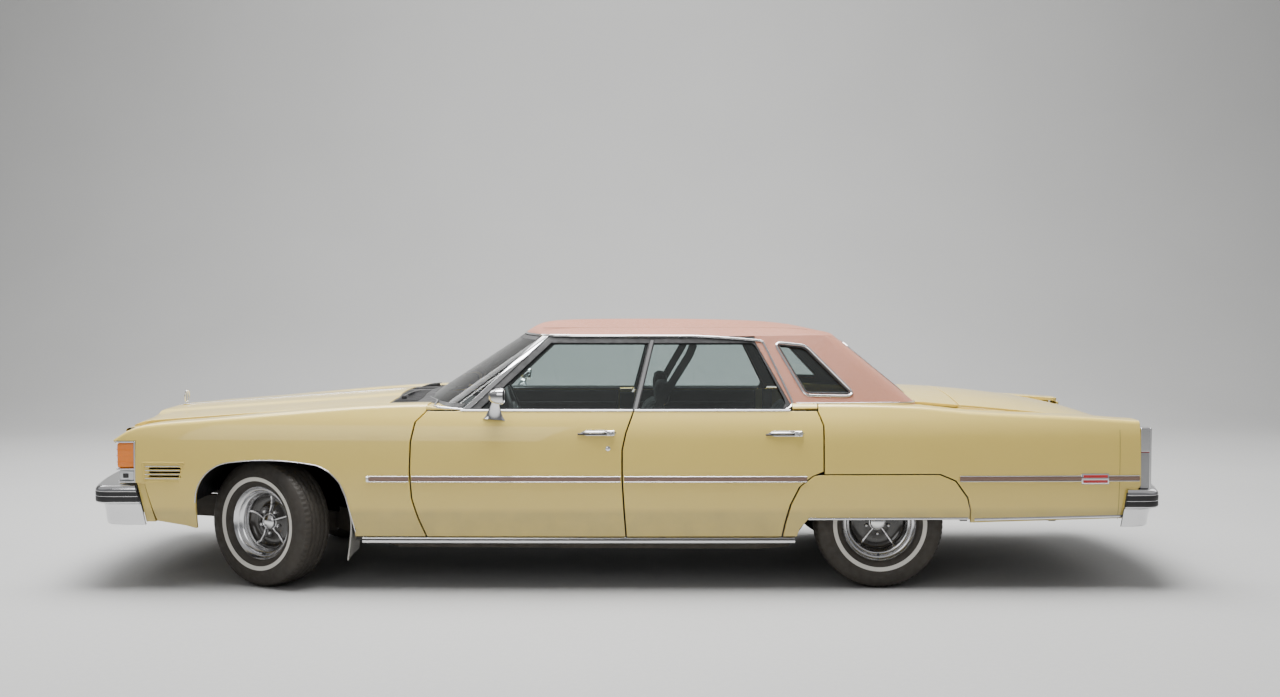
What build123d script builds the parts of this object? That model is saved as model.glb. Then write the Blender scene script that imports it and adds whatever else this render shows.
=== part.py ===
# Full-size four-door hardtop sedan, rebuilt as separate panels, glass, chassis and running gear.
# Millimetres. +X points to the front bumper, +Y to the driver's side, +Z up.
# The origin lies on the ground, under the middle of the car.
import os
from math import cos, radians, sin

from build123d import *

os.makedirs("parts", exist_ok=True)

# Overall sizes
length = 5903.0
front_axle_x = 1873.5
wheelbase = 3226.0
rear_axle_x = front_axle_x - wheelbase
track = 1624.0
nose_x = length / 2

# Body side: a section turned about a distant upright axis, so that the plan is gently bowed
side_half = 1008.0
plan_radius = 74500.0
plan_turn = 2.4
sill_z = 288.0
crease_z = 442.0
widest_z = 610.0
shoulder_z = 800.0
belt_z = 952.0
side_top_z = 1012.0
sill_tuck = 56.0
crease_tuck = 5.0
shoulder_tuck = 10.0
belt_tuck = 62.0
top_tuck = 96.0
skin = 26.0
panel_gap = 8.0
skirt_gap = 10.0
seat_gap = 0.3

# Wheels and tyres
tyre_radius = 345.0
rib_count = 5
lug_count = 5
lug_circle = 63.5

# Steering
kingpin_half = 697.0
rest_steer = 30.0

# Doors
door_inner = 872.0

# Front end
crest_slope = 0.0717
hood_half = 742.0
hood_rear_x = 1296.0
hood_front_x = 2684.0
hood_thick = 26.0
hood_rise = 8.0
bulge_half = 300.0
bulge_rise = 20.0

# Deck
deck_half = 716.0
deck_thick = 26.0

# Greenhouse
base_z = 940.0
drip_z = 1345.0
roof_z = 1428.0
roof_line = [(612, 1350), (560, 1388), (480, 1412), (-130, 1428), (-800, 1405), (-1000, 1380), (-1180, 1346)]
roof_skin = 34.0
pane = 6.0
pane_inset = 12.0

# Floor and bulkhead
floor_z = 300.0
floor_thick = 14.0
trunk_floor_z = 520.0
cabin_half = 862.0
bulkhead_x = 1180.0
far = 1100.0

# Edges shared by neighbouring panels, as X and Z in the side view
door_front_edge = [(1062, sill_z), (1103, 391), (1135, 496), (1146, 640), (1141, 796), (1118, 900), (1060, 956)]
door_split_edge = [(4, sill_z), (14, 420), (25, 600), (25, 754), (4, 848), (-36, 956)]
door_rear_edge = [(-821, sill_z), (-836, 365), (-861, 461), (-910, 559), (-981, 616), (-1039, 640),
                  (-1039, 880), (-1010, 956)]
front_crest = [(2738, 798), (2640, 858), (2568, 878), (2280, 905), (1030, 990)]
rear_crest = [(-1030, 990), (-1516, 980), (-1827, 952), (-2490, 918), (-2731, 902)]


def shifted(points, dx=0.0, dz=0.0):
    """The same run of X and Z, moved."""
    return [(x + dx, z + dz) for x, z in points]


def side_body(inset=0.0, inner=0.0):
    """The left half of the body's outer form, drawn in by an inset."""
    half = side_half - inset
    bottom = (half - sill_tuck, sill_z - 60)
    crease = (half - crease_tuck, crease_z)
    widest = (half, widest_z)
    shoulder = (half - shoulder_tuck, shoulder_z)
    over_shoulder = (half - belt_tuck * 0.42, (shoulder_z + belt_z) / 2)
    belt = (half - belt_tuck, belt_z)
    top = (half - top_tuck, side_top_z)
    with BuildPart(mode=Mode.PRIVATE) as body:
        with BuildSketch(Plane.YZ):
            with BuildLine():
                Line(bottom, crease)
                ThreePointArc(crease, widest, shoulder)
                ThreePointArc(shoulder, over_shoulder, belt)
                Polyline(belt, top, (inner, side_top_z), (inner, sill_z - 60), bottom)
            make_face()
        revolve(axis=Axis((0, side_half - plan_radius, 0), (0, 0, 1)), revolution_arc=plan_turn)
        mirror(about=Plane.YZ)
    return body.part


def side_prism(points, near=0.0, outer=far, rounding=()):
    """A block with the given outline in the side view; rounding pairs a radius with corner numbers."""
    with BuildPart(mode=Mode.PRIVATE) as block:
        with BuildSketch(Plane.XZ.offset(-outer)) as outline:
            with BuildLine():
                Polyline(*points, close=True)
            make_face()
            for radius, corners in rounding:
                chosen = [v for v in outline.vertices() for i in corners
                          if abs(v.X - points[i][0]) < 0.01 and abs(v.Z - points[i][1]) < 0.01]
                fillet(chosen, radius)
        extrude(amount=outer - near)
    return block.part


def across_prism(points, rear_x, front_x):
    """A block with the given Y and Z outline, from one X to another."""
    with BuildPart(mode=Mode.PRIVATE) as block:
        with BuildSketch(Plane.YZ.offset(rear_x)):
            with BuildLine():
                Polyline(*points, close=True)
            make_face()
        extrude(amount=front_x - rear_x)
    return block.part


def box_at(x0, x1, y0, y1, z0, z1):
    """A block between two corners."""
    with BuildPart(mode=Mode.PRIVATE) as block:
        with Locations(((x0 + x1) / 2, (y0 + y1) / 2, (z0 + z1) / 2)):
            Box(abs(x1 - x0), abs(y1 - y0), abs(z1 - z0))
    return block.part


# Plan outlines of the greenhouse at its base and at the drip rail, with an inset for the inside
# columns: front centre, front corner X and Y, widest X and half, rear corner X and Y, rear centre
base_plan = (1225, 1010, 872, -200, 936, -1610, 850, -1660)
drip_plan = (600, 452, 655, -300, 696, -1130, 640, -1172)
front_corner_round = (150, 110)
rear_corner_round = (120, 90)


def plan_outline(plan, inset, front_round, rear_round):
    """One plan outline of the greenhouse: two bowed sides, a bowed front and rear, rounded corners."""
    front, fx, fy, mid, half, rx, ry, rear = plan
    a, b = (fx - inset, fy - inset), (rx + inset, ry - inset)
    c, d = (rx + inset, inset - ry), (fx - inset, inset - fy)
    with BuildSketch(mode=Mode.PRIVATE) as outline:
        with BuildLine():
            ThreePointArc(a, (mid, half - inset), b)
            ThreePointArc(b, (rear + inset, 0), c)
            ThreePointArc(c, (mid, inset - half), d)
            ThreePointArc(d, (front - inset, 0), a)
        make_face()
        fillet(outline.vertices().group_by(Axis.X)[-1], front_round)
        fillet(outline.vertices().group_by(Axis.X)[0], rear_round)
    return outline.sketch


def greenhouse(inset=0.0, drop=0.0):
    """The closed form of the roof and windows, drawn in by an inset and lowered at the crown."""
    low = plan_outline(base_plan, inset, front_corner_round[0], rear_corner_round[0])
    high = plan_outline(drip_plan, inset, front_corner_round[1], rear_corner_round[1])
    eaves = drip_z + 10 - drop
    with BuildPart(mode=Mode.PRIVATE) as cabin:
        with BuildSketch(Plane.XY.offset(base_z)):
            add(low)
        with BuildSketch(Plane.XY.offset(drip_z)):
            add(high)
        loft(ruled=True)
        with BuildSketch(Plane.XY.offset(drip_z)):
            add(high)
        extrude(amount=roof_z - drip_z + 1)
        with BuildSketch(Plane.YZ.offset(-1900)):
            with BuildLine():
                ThreePointArc((-drip_plan[4], eaves), (0, roof_z - drop), (drip_plan[4], eaves))
                Polyline((drip_plan[4], eaves), (far, eaves), (far, base_z), (-far, base_z),
                         (-far, eaves), (-drip_plan[4], eaves))
            make_face()
        extrude(amount=3300, mode=Mode.INTERSECT)
        with BuildSketch(Plane.XZ.offset(-far)):
            with BuildLine():
                crown = [(x, z - drop) for x, z in roof_line]
                ThreePointArc(*crown[:3])
                ThreePointArc(*crown[2:5])
                ThreePointArc(*crown[4:])
                Polyline(crown[-1], (-1900, crown[-1][1]), (-1900, base_z), (1400, base_z),
                         (1400, crown[0][1]), crown[0])
            make_face()
        extrude(amount=2 * far, mode=Mode.INTERSECT)
    return cabin.part


def write(part, label):
    """Names a finished piece and writes it."""
    part.label = label
    export_step(part, f"parts/{label}.step")


# Outer forms that several pieces are cut from
side_outer = side_body()
side_inner = side_body(inset=skin)
cabin_outer = greenhouse()
cabin_inner = greenhouse(inset=roof_skin, drop=roof_skin)
cabin_keepout = greenhouse(inset=-4)

# Front fenders: bowed side, top shelf to the hood, arch, gill frame and the lamp recess at the nose
arch_rear = ((1446, 150), (1446, 313), (1484, 480))
arch_front = ((2098, 684), (2242, 612), (2290, 470))
arch_crown = (1868, 694)
arch_shoulder = ((1538, 596), (1642, 668))
fender_low = [(1452, sill_z), (1440, 330), (2300, 330), (2350, 344), (2502, 370), (2560, 567), (2610, 575),
              (2610, 798)]
fender_rear = shifted(door_front_edge, dx=panel_gap)
fender_outline = fender_rear[:1] + fender_low + front_crest + fender_rear[::-1][:-1]
fender_under = [(1000, 200), (2700, 200), (2584, 590), (2584, 770)]
fender_under += shifted(front_crest[2:], dz=-skin) + [(900, 960)]
gill_z = (604, 625, 646)

with BuildPart() as front_fender_left:
    add(side_outer)
    add(side_prism(fender_outline), mode=Mode.INTERSECT)
    with BuildPart(mode=Mode.PRIVATE) as inside:
        add(side_inner)
        add(side_prism(fender_under), mode=Mode.INTERSECT)
    add(inside.part, mode=Mode.SUBTRACT)
    add(box_at(900, 3000, -10, hood_half + panel_gap, 100, 1100), mode=Mode.SUBTRACT)
    with BuildSketch(Plane.XZ.offset(-far)):
        with BuildLine():
            Polyline(*arch_rear)
            ThreePointArc(arch_rear[-1], *arch_shoulder)
            ThreePointArc(arch_shoulder[-1], arch_crown, arch_front[0])
            ThreePointArc(*arch_front)
            Polyline(arch_front[-1], (arch_front[-1][0], arch_rear[0][1]), arch_rear[0])
        make_face()
    extrude(amount=far, mode=Mode.SUBTRACT)
    add(cabin_keepout, mode=Mode.SUBTRACT)
    for z in gill_z:
        gill = [(2362, z), (2540, z), (2536, z + 13), (2370, z + 13)]
        add(side_prism(gill, near=900), mode=Mode.SUBTRACT)
front_fender_right = mirror(front_fender_left.part, about=Plane.XZ)
write(front_fender_left.part, "front_fender_left")
write(front_fender_right, "front_fender_right")

# Doors, each as thick as the whole door, with a recess behind the trim board
front_door_outline = door_front_edge + shifted(door_split_edge, dx=panel_gap / 2)[::-1]
rear_door_outline = shifted(door_split_edge, dx=-panel_gap / 2) + door_rear_edge[::-1]


def door(outline, rear_edge, hinge_x, label):
    """A door cut from the body side; its rear end is bevelled so that the inner corner swings clear."""
    with BuildPart() as panel:
        add(side_outer)
        add(side_prism(outline, near=door_inner), mode=Mode.INTERSECT)
        with BuildSketch(Plane.XZ.offset(-side_half)):
            with BuildLine():
                Polyline(*rear_edge, (-2400, 1000), (-2400, 200), close=True)
            make_face()
        extrude(amount=side_half - door_inner + 30, dir=(door_bevel / (side_half - door_inner), -1, 0),
                mode=Mode.SUBTRACT)
        for z in hinge_levels:
            add(box_at(hinge_x - 20, hinge_x - 2, door_inner - post_gap + seat_gap, door_inner + 1, z - 28, z + 28))
    write(panel.part, label + "_left")
    write(mirror(panel.part, about=Plane.XZ), label + "_right")


door_bevel = 14.0
post_gap = 10.0
hinge_levels = (440, 760)
front_hinge_x = 1120.0
rear_hinge_x = -4.0
door(front_door_outline, shifted([(4, 200)] + door_split_edge + [(-36, 1000)], dx=panel_gap / 2),
     front_hinge_x, "front_door")
door(rear_door_outline, [(-821, 200)] + door_rear_edge + [(-1010, 1000)], rear_hinge_x, "rear_door")

# Quarters: side, top shelf to the trunk lid, C-pillar base and blade at the tail
skirt_edge = [(-1046, 626), (-1660, 626), (-1745, 590), (-1810, 500), (-1826, 430), (-1826, 372)]
quarter_outline = shifted(door_rear_edge, dx=-panel_gap)[5:] + rear_crest + [
    (-2731, 560), (-2700, 520), (-2660, 384), (-1826, 362)] + skirt_edge[::-1]
quarter_under = [(-900, 200), (-2800, 200), (-2800, 860)] + shifted(rear_crest, dz=-skin)[::-1][1:] + [(-900, 964)]

with BuildPart() as quarter_left:
    add(side_outer)
    add(side_prism(quarter_outline), mode=Mode.INTERSECT)
    with BuildPart(mode=Mode.PRIVATE) as inside:
        add(side_inner)
        add(side_prism(quarter_under), mode=Mode.INTERSECT)
    add(inside.part, mode=Mode.SUBTRACT)
    add(box_at(-3000, -1000, -10, deck_half + panel_gap, 100, 1100), mode=Mode.SUBTRACT)
write(quarter_left.part, "quarter_left")
write(mirror(quarter_left.part, about=Plane.XZ), "quarter_right")

# Fender skirts over the rear wheels
skirt_outline = shifted(door_rear_edge[:5], dx=-skirt_gap) + [(-1046, 620), (-1656, 620), (-1740, 584), (-1803, 496),
    (-1820, 430), (-1820, 379), (-958, 379), (-918, 330), (-904, sill_z)]
with BuildPart() as fender_skirts:
    add(side_outer)
    add(side_prism(skirt_outline), mode=Mode.INTERSECT)
    add(side_inner, mode=Mode.SUBTRACT)
    with BuildPart(mode=Mode.PRIVATE) as lip_inner:
        add(side_body(inset=skin + 8))
    for inset, low, high in ((skin - 6, 596, 619), (skin + seat_gap, 619, 652)):
        with BuildPart(mode=Mode.PRIVATE) as lip:
            add(side_body(inset=inset))
            add(lip_inner.part, mode=Mode.SUBTRACT)
            add(side_prism([(-1600, low), (-1100, low), (-1100, high), (-1600, high)]), mode=Mode.INTERSECT)
        add(lip.part)
    mirror(about=Plane.XZ)
write(fender_skirts.part, "fender_skirts")

# Roof and pillars: the greenhouse shell with its window openings cut through
side_window = [(812, 800), (800, belt_z), (430, 1318), (-690, 1318), (-872, belt_z), (-880, 800)]
opera_window = [(-812, 1304), (-972, 1288), (-1208, 1046), (-1192, 1034), (-960, 1040)]
pillar_foot_z = 990.3
screen_outline = [(-812, 978), (812, 978), (604, 1316), (-604, 1316)]
back_outline = [(-640, 1040), (640, 1040), (556, 1296), (-556, 1296)]

with BuildPart() as roof:
    add(cabin_outer)
    add(cabin_inner, mode=Mode.SUBTRACT)
    for half_window in (side_window, opera_window):
        add(side_prism(half_window, near=-far), mode=Mode.SUBTRACT)
    add(across_prism(screen_outline, 200, 1400), mode=Mode.SUBTRACT)
    add(across_prism(back_outline, -1900, -900), mode=Mode.SUBTRACT)
    add(box_at(-1900, -860, -far, far, 900, pillar_foot_z), mode=Mode.SUBTRACT)
    for side in (-1, 1):
        add(box_at(200, 1400, side * (door_inner - panel_gap), side * far, 900, 963), mode=Mode.SUBTRACT)
write(roof.part, "roof")


def glass(outline, cut, label):
    """A pane that follows the greenhouse, cut to an outline."""
    with BuildPart() as piece:
        add(greenhouse(inset=pane_inset, drop=pane_inset))
        add(greenhouse(inset=pane_inset + pane, drop=pane_inset + pane), mode=Mode.SUBTRACT)
        add(cut, mode=Mode.INTERSECT)
    write(piece.part, label)


def drawn_in(points, margin):
    """An outline drawn in by a margin, for a pane inside its opening."""
    with BuildSketch(mode=Mode.PRIVATE) as outline:
        with BuildLine():
            Polyline(*points, close=True)
        make_face()
        offset(amount=-margin, kind=Kind.INTERSECTION)
    corners = outline.sketch.face().outer_wire().order_edges()
    return [(e.position_at(0).X, e.position_at(0).Y) for e in corners]


glass(screen_outline, across_prism(drawn_in(screen_outline, seat_gap), 200, 1400), "windshield")
with BuildPart() as rear_glass:
    with BuildPart(mode=Mode.PRIVATE) as pane_shell:
        add(greenhouse(inset=pane_inset, drop=pane_inset))
        add(greenhouse(inset=pane_inset + pane, drop=pane_inset + pane), mode=Mode.SUBTRACT)
    with BuildPart(mode=Mode.PRIVATE) as cutters:
        add(across_prism(drawn_in(back_outline, seat_gap), -1900, -900))
        add(side_prism(drawn_in(opera_window, seat_gap), near=-far))
    add(pane_shell.part)
    add(cutters.part, mode=Mode.INTERSECT)
write(rear_glass.part, "rear_glass")

# Door glass stands on the door's top and leaves a running gap all round
glass_foot_z = 956.0 + seat_gap
front_pane = [(800 - 14, glass_foot_z), (417, 1311), (-128, 1311), (-37 + 6, glass_foot_z)]
rear_pane = [(-37 - 2, glass_foot_z), (-136, 1311), (-684, 1311), (-862, glass_foot_z)]
for outline, label in ((front_pane, "front_glass"), (rear_pane, "rear_door_glass")):
    with BuildPart() as pane_left:
        add(pane_shell.part)
        add(side_prism(outline, near=10), mode=Mode.INTERSECT)
    write(pane_left.part, label + "_left")
    write(mirror(pane_left.part, about=Plane.XZ), label + "_right")

# Hood: a raised centre drawn along the fender line, with a turned-down nose
crest_end_x, crest_end_z = front_crest[3]


def hood_side_z(x):
    """Height of the hood's edge at a place along the car."""
    return crest_end_z + hood_rise + (crest_end_x - x) * crest_slope


def hood_block(drop):
    """Everything below the hood's surface, lowered by a drop."""
    rise = hood_front_x - hood_rear_x
    z = hood_side_z(hood_front_x) - drop
    with BuildPart(mode=Mode.PRIVATE) as block:
        with BuildSketch(Plane.YZ.offset(hood_front_x)):
            with BuildLine():
                edge = (hood_half, z)
                foot = (bulge_half + 30, z + 12)
                crown = (bulge_half - 20, z + bulge_rise)
                Polyline((-hood_half, z), (-hood_half, 300), (hood_half, 300), edge, foot, crown)
                ThreePointArc(crown, (0, z + bulge_rise + 8), (-crown[0], crown[1]))
                Polyline((-crown[0], crown[1]), (-foot[0], foot[1]), (-hood_half, z))
            make_face()
        extrude(amount=rise, dir=(-1, 0, crest_slope))
    return block.part


hood_nose_z = hood_side_z(hood_front_x) - hood_thick
hood_boss_z = 946.0
with BuildPart() as hood:
    add(hood_block(0))
    with BuildPart(mode=Mode.PRIVATE) as hood_under:
        add(hood_block(hood_thick))
        add(box_at(hood_rear_x - 50, hood_front_x - 20, -far, far, 200, 1100), mode=Mode.INTERSECT)
    add(hood_under.part, mode=Mode.SUBTRACT)
    add(box_at(hood_rear_x, hood_front_x, -hood_half, hood_half, hood_nose_z, 1100), mode=Mode.INTERSECT)
    for side in (-1, 1):
        add(box_at(1302, 1322, side * 650, side * 700, hood_boss_z, hood_side_z(1312) - hood_thick + 6))
write(hood.part, "hood")

# Trunk lid and the deck panel ahead of it: crowned sections, as X, middle height and edge height
lid_front_x = -1812.0
lid_boss_z = 938.0
lid_rear_x = -2700.0
deck_sections = [(-1600, 1027, 990), (lid_front_x + panel_gap, 1019, 973)]
lid_sections = [(lid_front_x, 1018, 972), (-2180, 982, 938), (-2549, 916, 896), (-2692, 872, 862)]


def crowned(sections, half):
    """A crowned sheet lofted through sections across the car."""
    with BuildPart(mode=Mode.PRIVATE) as sheet:
        for x, middle, edge in sections:
            with BuildSketch(Plane.YZ.offset(x)):
                with BuildLine():
                    ThreePointArc((-half, edge), (0, middle), (half, edge))
                    Line((half, edge), (half, edge - deck_thick))
                    low = edge - deck_thick
                    ThreePointArc((half, low), (0, middle - deck_thick), (-half, low))
                    Line((-half, edge - deck_thick), (-half, edge))
                make_face()
        loft()
    return sheet.part


with BuildPart() as trunk_lid:
    add(crowned(lid_sections, deck_half))
    add(box_at(lid_rear_x, lid_rear_x + 16, -deck_half, deck_half, 640, 862))
    for side in (-1, 1):
        add(box_at(lid_front_x - 22, lid_front_x - 4, side * 600, side * 660, lid_boss_z, 966))
write(trunk_lid.part, "trunk_lid")
with BuildPart() as deck_panel:
    add(crowned(deck_sections, deck_half + panel_gap - seat_gap))
    add(cabin_keepout, mode=Mode.SUBTRACT)
    for side in (-1, 1):
        add(box_at(lid_front_x + panel_gap, -1780, side * 600, side * 660, lid_boss_z - 30, 970))
        add(box_at(lid_front_x - 30, -1780, side * 600, side * 660, lid_boss_z - 30, lid_boss_z - seat_gap))
write(deck_panel.part, "deck_panel")

# Header panel behind the lamps, with the grille's shell standing ahead of the hood
fender_face_x = 2610.0
header_x = 2700.0
header_half = 878.0
shell_half = 300.0
shell_x = 2756.0
lamp_low, lamp_high = 612.0, 768.0
with BuildPart() as header_panel:
    add(box_at(fender_face_x + 1, header_x, -header_half, header_half, 565, 765))
    add(box_at(fender_face_x + 1, header_x, -hood_half, hood_half, 765, hood_nose_z - 6))
    add(box_at(fender_face_x + 1, shell_x, -shell_half, shell_half, 505, hood_nose_z - 6))
    add(box_at(header_x - 3, shell_x, -shell_half, shell_half, 505, hood_nose_z + 40))
    for side in (-1, 1):
        add(box_at(2640, 2680, side * 400, side * 460, 447.6, 570))
        add(box_at(2650, 2800, side * 322, side * 740, lamp_low - 12, lamp_high + 12), mode=Mode.SUBTRACT)
    add(box_at(2650, 2800, -shell_half + 18, shell_half - 18, 523, hood_nose_z - 20), mode=Mode.SUBTRACT)
write(header_panel.part, "header_panel")

grille_bars = 22
grille_pitch = 24.0
grille_low, grille_high = 523 + seat_gap, hood_nose_z - 20 - seat_gap
grille_half = shell_half - 18 - seat_gap
with BuildPart() as grille:
    add(box_at(2650 + seat_gap, 2664, -grille_half, grille_half, grille_low, grille_high))
    for i in range(grille_bars):
        y = (i - (grille_bars - 1) / 2) * grille_pitch
        add(box_at(2664, shell_x - 8, y - 3, y + 3, grille_low, grille_high))
write(grille.part, "grille")

with BuildPart() as front_lamps:
    for side in (-1, 1):
        for y in (426, 636):
            add(box_at(2650 + seat_gap, 2696, side * (y - 98), side * (y + 98), lamp_low, lamp_high))
        add(box_at(fender_face_x + seat_gap, 2712, side * (header_half + seat_gap), side * 948, 652, 787))
        add(box_at(fender_face_x + seat_gap, 2706, side * (header_half + seat_gap), side * 948, 584, 640))
write(front_lamps.part, "front_lamps")

# Bumpers: sections in plan from the bottom up; columns: height, front face at the middle, end of the sides
bumper_half = 984.0
bumper_bow = 130.0
bumper_corner = 90.0
bumper_wall = 46.0
bumper_flange = 110.0
front_levels = [(353, 2895, 2556), (462, 2911, 2580), (472, 2950, 2583), (530, nose_x, 2598),
                (548, 2946, 2604), (561, 2925, 2609)]
rear_levels = [(342, 2917, 2625), (440, 2925, 2641), (450, 2950, 2643), (508, nose_x, 2651),
               (528, 2946, 2655), (540, 2925, 2657)]


def bumper_plan(front, rear, half):
    """The area inside the bumper's outer line, at one height."""
    with BuildSketch(mode=Mode.PRIVATE) as plan:
        with BuildLine():
            ThreePointArc((front - bumper_bow, -half), (front, 0), (front - bumper_bow, half))
            Polyline((front - bumper_bow, half), (rear, half), (rear, -half), (front - bumper_bow, -half))
        make_face()
        fillet(plan.vertices().group_by(Axis.X)[-1], bumper_corner)
    return plan.sketch


def bumper(levels):
    """A wrap-round bumper, open below and behind, with a flange along its top."""
    lowest, front = levels[0][:2]
    with BuildPart(mode=Mode.PRIVATE) as bar:
        for below, above in zip(levels, levels[1:]):
            for z, face, end in (below, above):
                with BuildSketch(Plane.XY.offset(z)):
                    add(bumper_plan(face, end, bumper_half - (nose_x - face) * 0.3))
            loft(ruled=True)
        with BuildSketch(Plane.XY.offset(lowest - 20)):
            add(bumper_plan(front - bumper_wall, 2500, bumper_half - bumper_wall))
        extrude(amount=levels[3][0] - lowest + 16, mode=Mode.SUBTRACT)
        with BuildSketch(Plane.XY.offset(levels[3][0] - 20)):
            add(bumper_plan(front - bumper_flange, 2500, bumper_half - 90))
        extrude(amount=80, mode=Mode.SUBTRACT)
    return bar.part


write(bumper(front_levels), "front_bumper")
write(bumper(rear_levels).rotate(Axis.Z, 180), "rear_bumper")

# Soft filler panels that close the space between the front fenders and the bumper
filler_side = [(2507, 368), (2563.5, 567.2), (2603, 573.5), (2555, 368)]
with BuildPart() as bumper_fillers:
    add(side_prism(filler_side, near=900, outer=1000))
    with BuildSketch(Plane.XY.offset(340)):
        with BuildLine():
            Polyline((2500, 958), (2690, 949), (2690, 912), (2500, 912), close=True)
        make_face()
    extrude(amount=240, mode=Mode.INTERSECT)
    mirror(about=Plane.XZ)
write(bumper_fillers.part, "bumper_fillers")

# Tail: panel between the blades, and the upright lamps at the ends of the quarters
blade_x = -2731.0
plate_pitch = 177.8
plate_z = 574.0
plate_hole = 3.25
lamp_inner = 880.0
with BuildPart() as tail_panel:
    add(box_at(-2716, -2703, -720, 720, 540 + seat_gap, 632))
    for side in (-1, 1):
        add(box_at(blade_x - 14, blade_x - seat_gap, side * 726, side * (lamp_inner - seat_gap),
                   540 + seat_gap, 880))
    add(box_at(blade_x - 14, -2703, -740, 740, 540 + seat_gap, 600))
    with BuildSketch(Plane.YZ.offset(blade_x - 14)):
        with Locations((-plate_pitch / 2, plate_z), (plate_pitch / 2, plate_z)):
            Circle(plate_hole)
    extrude(amount=60, mode=Mode.SUBTRACT)
write(tail_panel.part, "tail_panel")
with BuildPart() as tail_lamps:
    for side in (-1, 1):
        add(box_at(-2790, blade_x - seat_gap, side * lamp_inner, side * 944, 540 + seat_gap, 867))
write(tail_lamps.part, "tail_lamps")

# Floor, bulkhead, cowl, trunk floor, wheelhouses, sills and posts
heel_x = -860.0
rocker_low = 262.0
tunnel_half = 150.0
tunnel_z = 420.0
panel = 14.0
with BuildPart() as floor_pan:
    add(box_at(heel_x, 1000, -cabin_half, cabin_half, floor_z, floor_z + floor_thick))
    add(box_at(bulkhead_x, bulkhead_x + panel, -cabin_half, cabin_half, tunnel_z, 930))
    with BuildSketch(Plane.XZ.offset(-cabin_half)):
        with BuildLine():
            Polyline((980, floor_z), (bulkhead_x, tunnel_z + 14), (bulkhead_x + panel, tunnel_z + 14),
                     (bulkhead_x + panel, tunnel_z - 6), (1000, floor_z), close=True)
        make_face()
    extrude(amount=2 * cabin_half)
    add(box_at(1020, 1290, -735, 735, 922, base_z - seat_gap))
    for side in (-1, 1):
        add(box_at(820, 1290, side * 700, side * cabin_half, 922, base_z - seat_gap))
        add(box_at(-1780, heel_x, side * 606, side * 620, trunk_floor_z, 760))
        add(box_at(-1780, heel_x, side * 606, side * 866, 746, 760))
        add(box_at(heel_x, bulkhead_x, side * 842, side * cabin_half, rocker_low, 400))
        add(box_at(1270, 1330, side * 650, side * 700, 922, hood_boss_z - seat_gap))
        add(box_at(-30, 60, side * 812, side * cabin_half, floor_z, 930))
        add(box_at(1090, bulkhead_x + panel, side * 780, side * cabin_half, floor_z, 930))
        add(box_at(heel_x - 60, heel_x, side * 812, side * cabin_half, floor_z, 950))
    add(box_at(heel_x - panel, heel_x, -cabin_half, cabin_half, floor_z, trunk_floor_z + floor_thick))
    add(box_at(-2690, heel_x, -620, 620, trunk_floor_z, trunk_floor_z + floor_thick))
    add(box_at(-2640, -1780, -860, 860, trunk_floor_z, trunk_floor_z + floor_thick))
    add(box_at(-1794, -1780, -866, 866, trunk_floor_z, 760))
    add(box_at(-1790, -1774, -600, 600, trunk_floor_z + floor_thick, 760), mode=Mode.SUBTRACT)
    add(box_at(-1796, -1778, -606, 606, trunk_floor_z + floor_thick, 762), mode=Mode.SUBTRACT)
    add(box_at(-1560, -1046, -620, 620, 940, 952))
    add(box_at(-1060, -1046, -620, 620, trunk_floor_z, 940))
    add(box_at(heel_x, 1000, -tunnel_half, tunnel_half, floor_z, tunnel_z))
    add(box_at(heel_x - 30, 1250, -tunnel_half + panel, tunnel_half - panel, floor_z - 40, tunnel_z - panel),
        mode=Mode.SUBTRACT)
write(floor_pan.part, "floor_pan")

rocker_top = sill_z - panel_gap
rocker_side = [(1440, 330), (1452, rocker_low), (-812, rocker_low), (-812, rocker_top), (1440, rocker_top)]
with BuildPart() as rockers:
    add(side_prism(rocker_side, near=cabin_half + seat_gap))
    add(side_body(inset=40), mode=Mode.INTERSECT)
    mirror(about=Plane.XZ)
write(rockers.part, "rockers")

# Perimeter frame: each rail follows stations of X, Y, height of its top and depth
rail_top = floor_z - seat_gap
rail_stations = [(2817.2, 430, 450, 100), (2300, 430, 440, 120), (2100, 425, 400, 130), (1650, 425, 390, 130),
                 (1250, 700, rail_top, 105), (-700, 760, rail_top, 105), (-880, 690, rail_top, 105),
                 (-1070, 545, 500, 80), (-1700, 540, 500, 80), (-1950, 540, 470, 90), (-2822.4, 540, 450, 90)]
rail_wide = 70.0
# columns: X, reach to the rail's inner face, height of the top, depth
cross_stations = [(2700, 395, 440, 70), (front_axle_x, 360, 300, 100), (1690, 390, 300, 70),
                  (-420, 715.3, rail_top, 80), (-1660, 505, 500, 70), (-2620, 505, 450, 70)]
arm_inner = 465.0
with BuildPart() as chassis_frame:
    for near, ahead in zip(rail_stations, rail_stations[1:]):
        for x, y, top, depth in (near, ahead):
            with BuildSketch(Plane.YZ.offset(x)):
                with Locations((y, top - depth / 2)):
                    Rectangle(rail_wide, depth)
        loft(ruled=True)
    add(box_at(front_axle_x - 90, front_axle_x + 90, 360, arm_inner, 200, 500))
    mirror(about=Plane.XZ)
    for x, reach, top, depth in cross_stations:
        add(box_at(x - 35, x + 35, seat_gap - reach, reach - seat_gap, top - depth, top))
write(chassis_frame.part, "chassis_frame")

# Suspension arms that hold the front knuckles above and below
knuckle_low, knuckle_high = 232.0, 462.0
arm_half = 24.0
with BuildPart() as front_arms:
    for side in (-1, 1):
        low_arm = (knuckle_low - 26, knuckle_low - seat_gap)
        high_arm = (knuckle_high + seat_gap, knuckle_high + 24)
        for low, high in (low_arm, high_arm):
            add(box_at(front_axle_x - arm_half, front_axle_x + arm_half, side * (arm_inner + seat_gap),
                       side * (kingpin_half + 20), low, high))
write(front_arms.part, "front_arms")

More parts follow.
